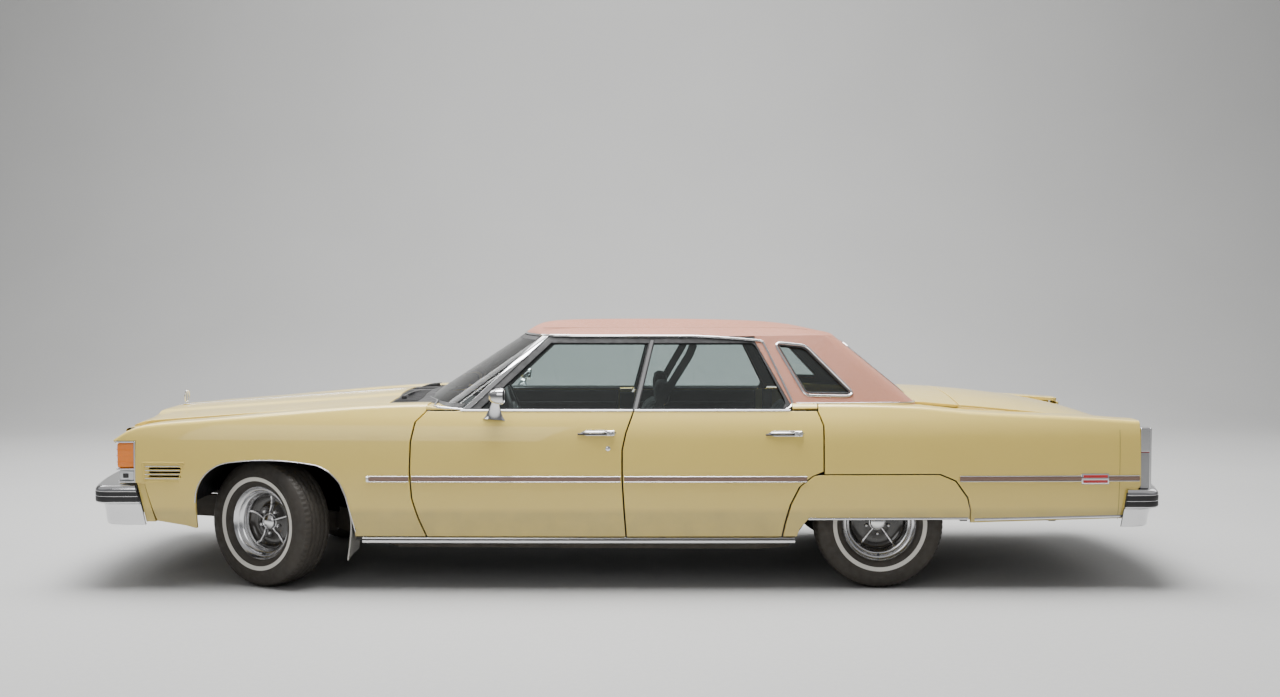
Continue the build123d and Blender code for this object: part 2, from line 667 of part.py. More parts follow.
# Rear axle with its final drive, springs and propeller shaft
axle_half = track / 2 - 22 - seat_gap
with BuildPart() as rear_axle:
    with BuildSketch(Plane.XZ.offset(-axle_half)):
        with Locations((rear_axle_x, tyre_radius)):
            Circle(42)
    extrude(amount=2 * axle_half)
    with Locations((rear_axle_x, 0, tyre_radius)):
        Sphere(130)
    with BuildSketch(Plane.YZ.offset(rear_axle_x)):
        with Locations((0, tyre_radius)):
            Circle(34)
    extrude(amount=560 - seat_gap - rear_axle_x)
    with BuildSketch(Plane.XY.offset(tyre_radius)):
        with Locations((rear_axle_x, 540), (rear_axle_x, -540)):
            Circle(34)
    extrude(amount=420 - seat_gap - tyre_radius)
write(rear_axle.part, "rear_axle")

with BuildPart() as engine:
    add(box_at(1240, 2240, -300, 300, 312, 800))
    add(box_at(560, 1240, -120, 120, 262, 400))
write(engine.part, "engine")

exhaust_run = [(1230, -330, 176), (-700, -330, 176), (-1000, -280, 230), (-1600, -340, 256), (-2620, -440, 290)]
with BuildPart() as exhaust:
    with BuildLine() as pipe_line:
        FilletPolyline(*exhaust_run, radius=60)
    with BuildSketch(Plane(pipe_line.line @ 0, z_dir=pipe_line.line % 0)):
        Circle(27)
    sweep(path=pipe_line.line)
    with Locations((-2150, -400, 282)):
        Box(560, 170, 106)
    add(box_at(-432, -408, -342, -318, 190, rail_top - 80 - seat_gap))
    add(box_at(-2636, -2612, -452, -428, 300, 450 - 70 - seat_gap))
write(exhaust.part, "exhaust")

with BuildPart() as fuel_tank:
    add(box_at(-2540, -1760, -290, 440, 300, trunk_floor_z - seat_gap))
    for x in (-2400, -1900):
        add(box_at(x - 20, x + 20, -290, 440, 290, 300))
write(fuel_tank.part, "fuel_tank")

# Inside: dashboard with the column, steering wheel, benches
column_slope = 19.0
hub = (640, 400, 905)
hub_plane = Plane(origin=hub, x_dir=(0, 1, 0), z_dir=(-cos(radians(column_slope)), 0, sin(radians(column_slope))))
with BuildPart() as dashboard:
    with BuildSketch(Plane.XZ.offset(-776)):
        with BuildLine():
            Polyline((bulkhead_x - seat_gap, 640), (960, 640), (900, 720), (880, 880), (940, 916),
                     (bulkhead_x - seat_gap, 916), close=True)
        make_face()
    extrude(amount=2 * 776)
    with BuildSketch(hub_plane.offset(-seat_gap)):
        Circle(36)
    extrude(amount=-400)
write(dashboard.part, "dashboard")
wheel_rim = 195.0
with BuildPart() as steering_wheel:
    with BuildSketch(hub_plane):
        Circle(wheel_rim)
        Circle(wheel_rim - 24, mode=Mode.SUBTRACT)
        Rectangle(2 * wheel_rim - 20, 54)
        Circle(62)
    extrude(amount=24)
write(steering_wheel.part, "steering_wheel")

seat_foot = floor_z + floor_thick + seat_gap
with BuildPart() as front_seat:
    with BuildSketch(Plane.XZ.offset(-780)):
        with BuildLine():
            Polyline((450, seat_foot), (480, 560), (10, 520), (-130, 930), (-245, 930), (-80, seat_foot),
                     close=True)
        make_face()
    extrude(amount=2 * 780)
    for y in (-420, 420):
        add(box_at(-232, -152, y - 130, y + 130, 950, 1090))
        add(box_at(-204, -180, y - 40, y + 40, 925, 960))
    add(box_at(-400, 500, -tunnel_half - seat_gap, tunnel_half + seat_gap, 300, tunnel_z + seat_gap),
        mode=Mode.SUBTRACT)
write(front_seat.part, "front_seat")
with BuildPart() as rear_seat:
    with BuildSketch(Plane.XZ.offset(-600)):
        with BuildLine():
            Polyline((-400, seat_foot), (-380, 560), (-810, 520), (-930, 938), (-1045, 938),
                     (-1000, trunk_floor_z + 15), (heel_x + seat_gap, trunk_floor_z + 15),
                     (heel_x + seat_gap, seat_foot), close=True)
        make_face()
    extrude(amount=2 * 600)
    add(box_at(-900, -300, -tunnel_half - seat_gap, tunnel_half + seat_gap, 300, tunnel_z + seat_gap),
        mode=Mode.SUBTRACT)
write(rear_seat.part, "rear_seat")

# Wheels: stepped bright rim, dished dark centre, five ribs, cap and nuts; the tyre is its own piece
# columns: radius, distance outward from the wheel's middle plane
rim_profile = [(0, -22), (0, 10), (60, 10), (96, -12), (140, -12), (149, 22), (178, 50), (190, 84), (201, 84),
               (201, 76), (196, 74), (190, 60), (165, 20), (165, -40), (188, -70), (201, -76), (201, -84),
               (190, -84), (158, -46), (150, -22)]
# columns: radius, distance from the middle plane; the tyre is a ring of flat-sided lofts
tyre_sides = 72
tyre_rings = [(201.8, 92), (252, 111), (304, 109), (336, 88), (tyre_radius, 62)]


def wheel_at(x, y, label, steer):
    """A wheel and its tyre, whose outer side faces away from the car, turned by the steering at rest."""
    outward = 1 if y > 0 else -1
    face = Plane(origin=(0, 0, 0), x_dir=(1, 0, 0), z_dir=(0, outward, 0))
    with BuildPart() as wheel:
        with BuildSketch(Plane.XY):
            with BuildLine():
                Polyline(*[(r, a * outward) for r, a in rim_profile], close=True)
            make_face()
        revolve(axis=Axis.Y)
        with BuildSketch(face.offset(-14)):
            with PolarLocations(92, rib_count, start_angle=90):
                Rectangle(112, 12)
        extrude(amount=24)
        with BuildSketch(face):
            Circle(42)
        extrude(amount=34)
        with BuildSketch(face):
            with PolarLocations(lug_circle, lug_count, start_angle=126):
                Circle(10)
        extrude(amount=20)
    tyre_outline = tyre_rings + [(r, -a) for r, a in tyre_rings[::-1]]
    with BuildPart() as tyre:
        for near, ahead in zip(tyre_outline, tyre_outline[1:]):
            for r, a in (near, ahead):
                with BuildSketch(Plane.XZ.offset(-a)):
                    RegularPolygon(r, tyre_sides)
            loft(ruled=True)
        with BuildSketch(Plane.XZ.offset(-120)):
            Circle(201.3)
        extrude(amount=240, mode=Mode.SUBTRACT)
    place = Pos(x, y, tyre_radius)
    for part, kind in ((wheel.part, "wheel_"), (tyre.part, "tyre_")):
        placed = place * part
        if steer:
            placed = placed.rotate(Axis((x, outward * kingpin_half, 0), (0, 0, 1)), -rest_steer)
        write(placed, kind + label)


for row, x in (("front", front_axle_x), ("rear", rear_axle_x)):
    for side, name in ((1, "left"), (-1, "right")):
        wheel_at(x, side * track / 2, f"{row}_{name}", row == "front")

for side, name in ((1, "left"), (-1, "right")):
    with BuildPart() as knuckle:
        with BuildSketch(Plane.XY.offset(knuckle_low)):
            with Locations((front_axle_x, side * kingpin_half)):
                Circle(24)
        extrude(amount=knuckle_high - knuckle_low)
        with BuildSketch(Plane.XZ.offset(-side * (kingpin_half + 12))):
            with Locations((front_axle_x, tyre_radius)):
                Circle(108)
        extrude(amount=-side * 24)
        with BuildSketch(Plane.XZ.offset(-side * (kingpin_half + 12))):
            with Locations((front_axle_x, tyre_radius)):
                Circle(30)
        extrude(amount=-side * (track / 2 - 22 - seat_gap - kingpin_half - 12))
    turned = knuckle.part.rotate(Axis((front_axle_x, side * kingpin_half, 0), (0, 0, 1)), -rest_steer)
    write(turned, "knuckle_" + name)

# Door mirrors: a rounded head on a swept foot
with BuildPart() as mirror_left:
    with BuildSketch(Plane.YZ.offset(650)):
        with Locations((1020, 1040)):
            RectangleRounded(128, 88, 30)
    extrude(amount=76, taper=9)
    with BuildSketch(Plane.XY.offset(956 + seat_gap)):
        with Locations((706, 930)):
            Ellipse(50, 15)
    with BuildSketch(Plane.XY.offset(1020)):
        with Locations((694, 985)):
            Ellipse(16, 12)
    loft()
write(mirror_left.part, "mirror_left")
write(mirror(mirror_left.part, about=Plane.XZ), "mirror_right")
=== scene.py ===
import math
from itertools import product
from math import cos, radians, sin, sqrt

import bmesh
import bpy
from mathutils import Matrix, Vector


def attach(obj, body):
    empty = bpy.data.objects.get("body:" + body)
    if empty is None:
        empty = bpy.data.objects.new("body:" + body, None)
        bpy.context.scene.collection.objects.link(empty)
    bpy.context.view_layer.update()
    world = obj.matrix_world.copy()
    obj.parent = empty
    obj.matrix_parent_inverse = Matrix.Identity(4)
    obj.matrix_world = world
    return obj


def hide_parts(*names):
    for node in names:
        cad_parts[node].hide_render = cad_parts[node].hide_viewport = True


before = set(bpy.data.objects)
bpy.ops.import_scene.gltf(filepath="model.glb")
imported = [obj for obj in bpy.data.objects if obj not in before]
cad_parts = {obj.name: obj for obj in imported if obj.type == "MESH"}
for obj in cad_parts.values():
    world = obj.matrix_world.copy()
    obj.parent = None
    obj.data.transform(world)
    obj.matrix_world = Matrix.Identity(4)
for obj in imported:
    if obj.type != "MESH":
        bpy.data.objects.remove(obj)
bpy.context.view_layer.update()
MM = 0.001

# Camera of the photograph: square to the car's left side, a little above the roof
camera_place = (-0.0695, 9.1, 1.636)
camera_pitch = 2.44
lens_mm = 43.31

# Body side in millimetres: half-width over height at the car's middle, bowed in plan
plan_centre = 73492.0
side_arcs = [((1003, 442), (1008, 610), (998, 800)), ((998, 800), (981.96, 876), (946, 952))]
crest_table = [(-2760, 901), (-2731, 902), (-2490, 918), (-1827, 952), (-1516, 980), (-1030, 990),
               (1030, 990), (2280, 905), (2568, 878), (2640, 858), (2738, 798), (2760, 782)]
crest_round = 20.0
front_shelf, rear_shelf = 750.0, 724.0
hem_round = 3.0

door_front_edge = [(1062, 288), (1103, 391), (1135, 496), (1146, 640), (1141, 796), (1118, 900), (1060, 956)]
door_split_edge = [(4, 288), (14, 420), (25, 600), (25, 754), (4, 848), (-36, 956)]
door_rear_edge = [(-821, 288), (-836, 365), (-861, 461), (-910, 559), (-981, 616), (-1039, 640), (-1039, 880),
                  (-1010, 956)]


def monotone(rows, x):
    """A smooth curve through rows of x and y that never overshoots them; the rows rise in x."""
    rows = sorted(rows)
    if x <= rows[0][0]:
        return rows[0][1]
    if x >= rows[-1][0]:
        return rows[-1][1]
    gaps = [(b[0] - a[0], (b[1] - a[1]) / (b[0] - a[0])) for a, b in zip(rows, rows[1:])]
    i = max(k for k in range(len(gaps)) if rows[k][0] <= x)

    def slope(k):
        if k in (0, len(gaps)):
            return gaps[min(k, len(gaps) - 1)][1]
        (ha, sa), (hb, sb) = gaps[k - 1], gaps[k]
        if sa * sb <= 0:
            return 0.0
        return (ha + hb) / ((ha + 2 * hb) / 3 / sa + (2 * ha + hb) / 3 / sb)

    h, s = gaps[i]
    t = (x - rows[i][0]) / h
    a, b = slope(i) * h, slope(i + 1) * h
    p, q = rows[i][1], rows[i + 1][1]
    places = (2 * t ** 3 - 3 * t ** 2 + 1) * p + (3 * t * t - 2 * t ** 3) * q
    return places + (t ** 3 - 2 * t ** 2 + t) * a + (t ** 3 - t * t) * b


def circle_through(p, q, r):
    """Centre and radius of the circle through three points."""
    (ax, ay), (bx, by), (cx, cy) = p, q, r
    d = 2 * (ax * (by - cy) + bx * (cy - ay) + cx * (ay - by))
    ux = ((ax * ax + ay * ay) * (by - cy) + (bx * bx + by * by) * (cy - ay)
          + (cx * cx + cy * cy) * (ay - by)) / d
    uy = ((ax * ax + ay * ay) * (cx - bx) + (bx * bx + by * by) * (ax - cx)
          + (cx * cx + cy * cy) * (bx - ax)) / d
    return ux, uy, math.hypot(ax - ux, ay - uy)


side_circles = [circle_through(*arc) for arc in side_arcs]


def sharp_half(z):
    """Half-width of the body at a height, at the car's middle."""
    if z < 442:
        return 952 + (z - 228) * 51 / 214
    if z > 952:
        return 946 - (z - 952) * 34 / 60
    cx, cy, r = side_circles[0 if z < 800 else 1]
    return cx + sqrt(r * r - (z - cy) ** 2)


def half_width(z):
    """Half-width of the body at a height, with the creases softened."""
    return (sharp_half(z - 14) + 2 * sharp_half(z - 7) + 2 * sharp_half(z) + 2 * sharp_half(z + 7)
            + sharp_half(z + 14)) / 8


def side_y(x, z):
    """Y of the left body side."""
    return -plan_centre + sqrt((half_width(z) + plan_centre) ** 2 - x * x)


def crest_z(x):
    return monotone(crest_table, x)


def bezier3(a, b, c, t):
    return tuple(a[i] * (1 - t) ** 2 + 2 * b[i] * t * (1 - t) + c[i] * t * t for i in range(len(a)))


def rounded(ring, radius, share=1.0):
    """A closed outline with its corners rounded; a corner takes no more than a share of a side."""
    out = []
    for before, at, after in zip(ring[-1:] + ring[:-1], ring, ring[1:] + ring[:1]):
        a, b = (tuple(Vector(at).lerp(Vector(q), min(share, radius / math.dist(at, q))))
                for q in (before, after))
        out += [bezier3(a, at, b, i / 5) for i in range(6)]
    return out


# Skins: each is a list of points in millimetres, one of their normals, and one of faces
def mirrored(skin):
    """The skin on the car's other side."""
    points, normals, faces = skin
    return [(x, -y, z) for x, y, z in points], [(x, -y, z) for x, y, z in normals], [f[::-1] for f in faces]


def grid(section, stations, closed=False):
    """A skin through a section at each station; section gives a list of points."""
    rows = [section(s) for s in stations]
    m = len(rows[0])
    points, normals, faces = [], [], []
    for i, row in enumerate(rows):
        before, after = rows[max(i - 1, 0)], rows[min(i + 1, len(rows) - 1)]
        for j in range(m):
            if closed:
                across = Vector(row[(j + 1) % m]) - Vector(row[j - 1])
            else:
                across = Vector(row[min(j + 1, m - 1)]) - Vector(row[max(j - 1, 0)])
            along = Vector(after[j]) - Vector(before[j])
            points.append(tuple(row[j]))
            n = across.cross(along)
            normals.append(n.normalized() if n.length > 1e-9 else Vector((0, 0, 1)))
    for i in range(len(rows) - 1):
        for j in range(m if closed else m - 1):
            k = (j + 1) % m
            faces.append((i * m + j, i * m + k, (i + 1) * m + k, (i + 1) * m + j))
    return points, normals, faces


def flip(points, normals, faces):
    return points, [-Vector(n) for n in normals], [f[::-1] for f in faces]


def inside(p, polygon):
    """Whether a point lies within a polygon."""
    hit = False
    for (ax, ay), (bx, by) in zip(polygon, polygon[1:] + polygon[:1]):
        if (ay > p[1]) != (by > p[1]) and p[0] < (bx - ax) * (p[1] - ay) / (by - ay) + ax:
            hit = not hit
    return hit


def area(polygon):
    return sum(a[0] * b[1] - b[0] * a[1] for a, b in zip(polygon, polygon[1:] + polygon[:1])) / 2


def inset(polygon, margin):
    """The polygon drawn in by a margin, its corners mitred."""
    if area(polygon) < 0:
        polygon = polygon[::-1]
    out = []
    for before, at, after in zip(polygon[-1:] + polygon[:-1], polygon, polygon[1:] + polygon[:1]):
        u, v = (Vector(at) - Vector(before)).normalized(), (Vector(after) - Vector(at)).normalized()
        nu, nv = Vector((-u.y, u.x)), Vector((-v.y, v.x))
        m = (nu + nv) / max(1 + nu.dot(nv), 0.35)
        out.append((at[0] + m.x * margin, at[1] + m.y * margin))
    return out


def arc(p, q, r, count=12):
    """Points on the arc from p through q to r."""
    cx, cy, rad = circle_through(p, q, r)
    a, b, c = (math.atan2(k[1] - cy, k[0] - cx) for k in (p, q, r))
    for turn in (0, 2 * math.pi, -2 * math.pi):
        if min(a, c + turn) <= b <= max(a, c + turn) or min(a, c + turn) <= b + turn <= max(a, c + turn):
            c += turn
            break
    return [(cx + rad * cos(a + (c - a) * i / count), cy + rad * sin(a + (c - a) * i / count))
            for i in range(count + 1)]


def taken(bm, layer):
    """The skin that a mesh under work holds; the mesh is freed."""
    bm.verts.index_update()
    faces = [tuple(v.index for v in f.verts) for f in bm.faces]
    out = [tuple(v.co) for v in bm.verts], [Vector(v[layer]) for v in bm.verts], faces
    bm.free()
    return out


def trim(skin, outer=None, holes=(), axes=(0, 2)):
    """Cuts a skin to a polygon and its holes, seen along the third axis; its normals stay smooth."""
    points, normals, faces = skin
    bm = bmesh.new()
    layer = bm.verts.layers.float_vector.new("n")
    made = []
    for p, n in zip(points, normals):
        v = bm.verts.new(p)
        v[layer] = n
        made.append(v)
    for f in faces:
        bm.faces.new([made[i] for i in f])
    i, j = axes
    rings = ([outer] if outer else []) + list(holes)
    for ring in rings:
        for a, b in zip(ring, ring[1:] + ring[:1]):
            low = [min(a[k], b[k]) - 0.5 for k in (0, 1)]
            high = [max(a[k], b[k]) + 0.5 for k in (0, 1)]
            near = []
            for f in bm.faces:
                us, vs = [v.co[i] for v in f.verts], [v.co[j] for v in f.verts]
                if min(us) <= high[0] and max(us) >= low[0] and min(vs) <= high[1] and max(vs) >= low[1]:
                    near.append(f)
            if not near:
                continue
            d = Vector((b[0] - a[0], b[1] - a[1])).normalized()
            no, co = [0, 0, 0], [0, 0, 0]
            no[i], no[j] = -d.y, d.x
            co[i], co[j] = a
            edges = {e for f in near for e in f.edges}
            verts = {v for f in near for v in f.verts}
            bmesh.ops.bisect_plane(bm, geom=near + list(edges) + list(verts), dist=0.01, plane_co=co,
                                   plane_no=no)
    gone = []
    for f in bm.faces:
        c = f.calc_center_median()
        p = (c[i], c[j])
        if (outer and not inside(p, outer)) or any(inside(p, h) for h in holes):
            gone.append(f)
    bmesh.ops.delete(bm, geom=gone, context="FACES")
    return taken(bm, layer)


def hem(skin, radius=hem_round, depth=15.0, to=None):
    """Rolls the free edges over and turns them in by a depth, or to where to(last, outward) says."""
    steps = 3
    points, normals, faces = list(skin[0]), [Vector(n).normalized() for n in skin[1]], list(skin[2])
    directed = {(a, b) for f in faces for a, b in zip(f, f[1:] + f[:1])}
    rim = [(a, b) for a, b in directed if (b, a) not in directed]
    outs = {}
    for a, b in rim:
        t = (Vector(points[b]) - Vector(points[a]))
        if t.length < 1e-9:
            continue
        e = t.normalized().cross((normals[a] + normals[b]).normalized())
        for k in (a, b):
            outs.setdefault(k, []).append(e)
    rings = {}
    for k, es in outs.items():
        e = sum(es, Vector()).normalized()
        stretch = 1 / max(0.5, min(e.dot(x) for x in es))
        n = normals[k]
        p = Vector(points[k])
        ring = [k]
        for s in range(1, steps + 1):
            a = math.pi / 2 * s / steps
            ring.append(len(points))
            points.append(tuple(p + e * radius * stretch * sin(a) - n * radius * (1 - cos(a))))
            normals.append((n * cos(a) + e * sin(a)).normalized())
        last = p + e * radius * stretch - n * (radius + depth)
        ring.append(len(points))
        points.append(tuple(to(last, e) if to else last))
        normals.append(e)
        rings[k] = ring
    for a, b in rim:
        if a in rings and b in rings:
            for s in range(steps + 1):
                faces.append((b, a, rings[a][s + 1], rings[b][s + 1]) if s == 0 else
                             (rings[b][s], rings[a][s], rings[a][s + 1], rings[b][s + 1]))
    return points, normals, faces


def joined(*skins):
    points, normals, faces = [], [], []
    for p, n, f in skins:
        base = len(points)
        points += list(p)
        normals += list(n)
        faces += [tuple(i + base for i in face) for face in f]
    return points, normals, faces


def spaced(a, b, step):
    n = max(1, math.ceil(abs(b - a) / step))
    return [a + (b - a) * i / n for i in range(n + 1)]


# Body-side sections
def shelf_section(shelf):
    """From the lid's edge over the crest and down the side."""
    def section(x):
        zc = crest_z(x)
        yc = side_y(x, zc)
        start, reach = shelf + hem_round, yc - crest_round - shelf - hem_round
        rows = [(x, start + reach * i / 6, zc + 2.5 * sin(math.pi * i / 6)) for i in range(6)]
        top = zc - crest_round
        corner = [bezier3((yc - crest_round, zc), (yc, zc), (side_y(x, top), top), i / 7) for i in range(8)]
        rows += [(x, y, z) for y, z in corner]
        rows += [(x, side_y(x, z), z) for z in (top + (262 - top) * (i / 46) for i in range(1, 47))]
        return rows
    return section


def side_section(top=956.0 - hem_round):
    """Down the body side."""
    def section(x):
        return [(x, side_y(x, z), z) for z in (top + (262 - top) * i / 46 for i in range(47))]
    return section


def shifted(points, dx):
    return [(x + dx, z) for x, z in points]


def facing(skin, direction):
    """The skin with its normals turned to the given side."""
    total = sum((Vector(n) for n in skin[1]), Vector())
    return flip(*skin) if total.dot(Vector(direction)) < 0 else skin


def face_of(points, way):
    """One flat face through the points, with its normal the given way."""
    return points, [Vector(way)] * len(points), [tuple(range(len(points)))]


def moved(skin, matrix):
    m, r = matrix, matrix.to_3x3()
    return [tuple(m @ Vector(p)) for p in skin[0]], [r @ Vector(n) for n in skin[1]], skin[2]


# Pieces: the looks by name, and how skins become an object that rides on a body
looks = {}
single_bodies = ("hood", "trunk_lid", "steering_wheel")


def add(name, data):
    """A new object in the scene."""
    obj = bpy.data.objects.new(name, data)
    bpy.context.scene.collection.objects.link(obj)
    return obj


def mesh_of(name, parts):
    """One mesh from (skin, look) pairs."""
    mesh = bpy.data.meshes.new(name)
    points, normals, faces = joined(*[s for s, k in parts])
    mesh.from_pydata([[c * MM for c in v] for v in points], [], faces)
    names = list(dict.fromkeys(k for s, k in parts))
    for k in names:
        mesh.materials.append(looks[k])
    index = [names.index(k) for s, k in parts for f in s[2]]
    mesh.polygons.foreach_set("material_index", index)
    mesh.polygons.foreach_set("use_smooth", [True] * len(faces))
    mesh.update()
    mesh.normals_split_custom_set_from_vertices([Vector(n).normalized() for n in normals])
    return mesh


def dressed(name, parts, body="root", sides=True, replaces=()):
    """A piece built from (skin, look) pairs; with sides set, the left one and its mirror image."""
    for side in (("_left", "_right") if sides else ("",)):
        done = [(mirrored(s) if side == "_right" else s, k) for s, k in parts]
        obj = add(name + side, mesh_of(name + side, done))
        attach(obj, body if body == "root" or body in single_bodies else body + side)
        if replaces:
            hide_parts(*[r + side for r in replaces])


# Looks: each is a procedural surface with its own grain, colour variation and gloss variation
def node(tree, kind, **settings):
    n = tree.nodes.new("ShaderNode" + kind)
    for key, value in settings.items():
        setattr(n, key, value)
    return n


def look(name, colour, rough, tint, metal=0.0, coat=0.0, sheen=0.0, tint_scale=3.0, fine=0.05,
         fine_scale=60.0, bump=0.0, bump_scale=500.0, pattern="noise", dust_and_shade=None, spec=0.5, wear=None):
    """A surface whose colour, gloss and relief vary; it darkens towards the ground, as road dust and on the
    body paint as painted shade, and wears at the edges.
    """
    mat = bpy.data.materials.new(name)
    mat.use_nodes = True
    t = mat.node_tree
    b = t.nodes["Principled BSDF"]
    place = node(t, "TexCoord").outputs["Object"]

    def noise_at(scale, detail=4.0):
        n = node(t, "TexNoise")
        n.inputs["Scale"].default_value = scale
        n.inputs["Detail"].default_value = detail
        t.links.new(place, n.inputs["Vector"])
        return n.outputs["Fac"]

    def ranged(source, low, high, start=0.3, end=0.7):
        r = node(t, "MapRange")
        for key, value in (("From Min", start), ("From Max", end), ("To Min", low), ("To Max", high)):
            r.inputs[key].default_value = value
        t.links.new(source, r.inputs["Value"])
        return r.outputs["Result"]

    def mixed(factor, first, second):
        m = node(t, "Mix", data_type="RGBA", blend_type="MIX")
        for socket, value in ((m.inputs[0], factor), (m.inputs[6], first), (m.inputs[7], second)):
            if hasattr(value, "links"):
                t.links.new(value, socket)
            elif isinstance(value, (int, float)):
                socket.default_value = value
            else:
                socket.default_value = (*value, 1)
        return m.outputs[2]

    dark = tuple(c * (1 - tint) for c in colour)
    light = tuple(min(1, c * (1 + tint)) for c in colour)
    shade = mixed(ranged(noise_at(tint_scale), 0, 1), dark, light)
    if fine:
        shade = mixed(ranged(noise_at(fine_scale), 0, fine), shade, tuple(c * 0.55 for c in colour))
    # Darker towards the ground: road dust on most looks, and painted shade on the body paint
    if dust_and_shade:
        tone, strength, top, start = dust_and_shade if len(dust_and_shade) == 4 else (*dust_and_shade, 0.05)
        sep = node(t, "SeparateXYZ")
        t.links.new(place, sep.inputs[0])
        low = ranged(sep.outputs["Z"], strength, 0, start, top)
        patchy = node(t, "Math", operation="MULTIPLY")
        t.links.new(low, patchy.inputs[0])
        t.links.new(ranged(noise_at(9.0, 6.0), 0.6, 1.0), patchy.inputs[1])
        shade = mixed(patchy.outputs[0], shade, tone)
    if wear:
        geo = node(t, "NewGeometry")
        edge = ranged(geo.outputs["Pointiness"], 0, wear[1], 0.52, 0.60)
        shade = mixed(edge, shade, wear[0])
    t.links.new(shade, b.inputs["Base Color"])
    t.links.new(ranged(noise_at(fine_scale * 0.5), rough * 0.82, min(1, rough * 1.2 + 0.01)),
                b.inputs["Roughness"])
    b.inputs["Metallic"].default_value = metal
    b.inputs["Coat Weight"].default_value = coat
    b.inputs["Coat Roughness"].default_value = 0.035
    b.inputs["Sheen Weight"].default_value = sheen
    b.inputs["Specular IOR Level"].default_value = spec
    if bump:
        relief = node(t, "Bump")
        relief.inputs["Strength"].default_value = bump
        relief.inputs["Distance"].default_value = 0.001
        if pattern == "noise":
            source = noise_at(bump_scale, 3.0)
        elif pattern == "grain":
            v = node(t, "TexVoronoi", feature="DISTANCE_TO_EDGE")
            v.inputs["Scale"].default_value = bump_scale
            t.links.new(place, v.inputs["Vector"])
            source = ranged(v.outputs["Distance"], 0, 1, 0.0, 0.25)
        else:
            w = node(t, "TexWave", wave_type="BANDS", bands_direction=pattern)
            w.inputs["Scale"].default_value = bump_scale
            w.inputs["Distortion"].default_value = 0.4
            t.links.new(place, w.inputs["Vector"])
            source = w.outputs["Fac"]
        t.links.new(source, relief.inputs["Height"])
        t.links.new(relief.outputs["Normal"], b.inputs["Normal"])
    looks[name] = mat


def glass_look(name, tint, cloud):
    """Clear glass: what is behind it, tinted, under a mirror-like gloss that grows at a slant."""
    mat = bpy.data.materials.new(name)
    mat.use_nodes = True
    t = mat.node_tree
    t.nodes.remove(t.nodes["Principled BSDF"])
    out = t.nodes["Material Output"]
    clear, gloss, haze = node(t, "BsdfTransparent"), node(t, "BsdfGlossy"), node(t, "BsdfDiffuse")
    clear.inputs[0].default_value = (*tint, 1)
    gloss.inputs["Roughness"].default_value = 0.015
    haze.inputs[0].default_value = (0.6, 0.62, 0.6, 1)
    coords, film = node(t, "TexCoord"), node(t, "TexNoise")
    film.inputs["Scale"].default_value = 4.0
    t.links.new(coords.outputs["Object"], film.inputs["Vector"])
    amount = node(t, "Math", operation="MULTIPLY")
    amount.inputs[1].default_value = cloud
    t.links.new(film.outputs["Fac"], amount.inputs[0])
    first, second, slant = node(t, "MixShader"), node(t, "MixShader"), node(t, "Fresnel")
    slant.inputs["IOR"].default_value = 1.5
    t.links.new(amount.outputs[0], first.inputs[0])
    t.links.new(clear.outputs[0], first.inputs[1])
    t.links.new(haze.outputs[0], first.inputs[2])
    t.links.new(slant.outputs[0], second.inputs[0])
    t.links.new(first.outputs[0], second.inputs[1])
    t.links.new(gloss.outputs[0], second.inputs[2])
    t.links.new(second.outputs[0], out.inputs["Surface"])
    looks[name] = mat


# Tone laid on towards the ground: road dust, and on the body paint painted shade
dust_and_shade_tone = (0.16, 0.13, 0.09)
# The body paint darkens sharply from just under the crease down: painted shade standing in for the dark
# ground that the lower body reflects
look("paint", (0.74, 0.56, 0.135), 0.34, coat=0.8, tint=0.015, fine=0.02, fine_scale=40, bump=0.02,
     bump_scale=140, dust_and_shade=(dust_and_shade_tone, 0.36, 0.450, 0.415))
look("paint_inner", (0.52, 0.44, 0.20), 0.5, coat=0.3, tint=0.04, dust_and_shade=(dust_and_shade_tone, 0.5, 0.6), bump=0.05)
look("vinyl", (0.37, 0.134, 0.073), 0.46, sheen=0.12, tint=0.07, tint_scale=2.2, fine=0.12, fine_scale=90,
     bump=0.55, bump_scale=230, pattern="grain", wear=((0.56, 0.32, 0.22), 0.25))
look("seam", (0.42, 0.22, 0.15), 0.6, tint=0.05, bump=0.5, bump_scale=600)
look("seam_dark", (0.22, 0.18, 0.07), 0.7, tint=0.1, bump=0.2)
look("chrome", (0.80, 0.80, 0.81), 0.07, metal=1.0, tint=0.015, fine=0.03, fine_scale=30,
     dust_and_shade=(dust_and_shade_tone, 0.12, 0.4))
look("bright", (0.72, 0.72, 0.73), 0.20, metal=1.0, tint=0.03, fine=0.04)
look("satin", (0.45, 0.45, 0.46), 0.34, metal=1.0, tint=0.05, fine=0.08, dust_and_shade=(dust_and_shade_tone, 0.25, 0.5))
look("rubber", (0.020, 0.020, 0.021), 0.62, tint=0.15, fine=0.15, bump=0.15, bump_scale=700)
look("tyre", (0.011, 0.0105, 0.011), 0.66, tint=0.2, fine=0.1, bump=0.25, bump_scale=420,
     dust_and_shade=(dust_and_shade_tone, 0.22, 0.75))
look("whitewall", (0.74, 0.72, 0.66), 0.6, tint=0.05, fine=0.12, fine_scale=25, bump=0.08,
     dust_and_shade=(dust_and_shade_tone, 0.2, 0.7))
look("black", (0.014, 0.014, 0.015), 0.45, tint=0.2, bump=0.08, dust_and_shade=(dust_and_shade_tone, 0.25, 0.5))
look("gloss_black", (0.012, 0.012, 0.013), 0.12, coat=0.6, tint=0.1, dust_and_shade=(dust_and_shade_tone, 0.12, 0.5))
look("chassis", (0.020, 0.019, 0.018), 0.62, tint=0.25, fine=0.2, bump=0.3, bump_scale=120,
     dust_and_shade=(dust_and_shade_tone, 0.65, 0.6))
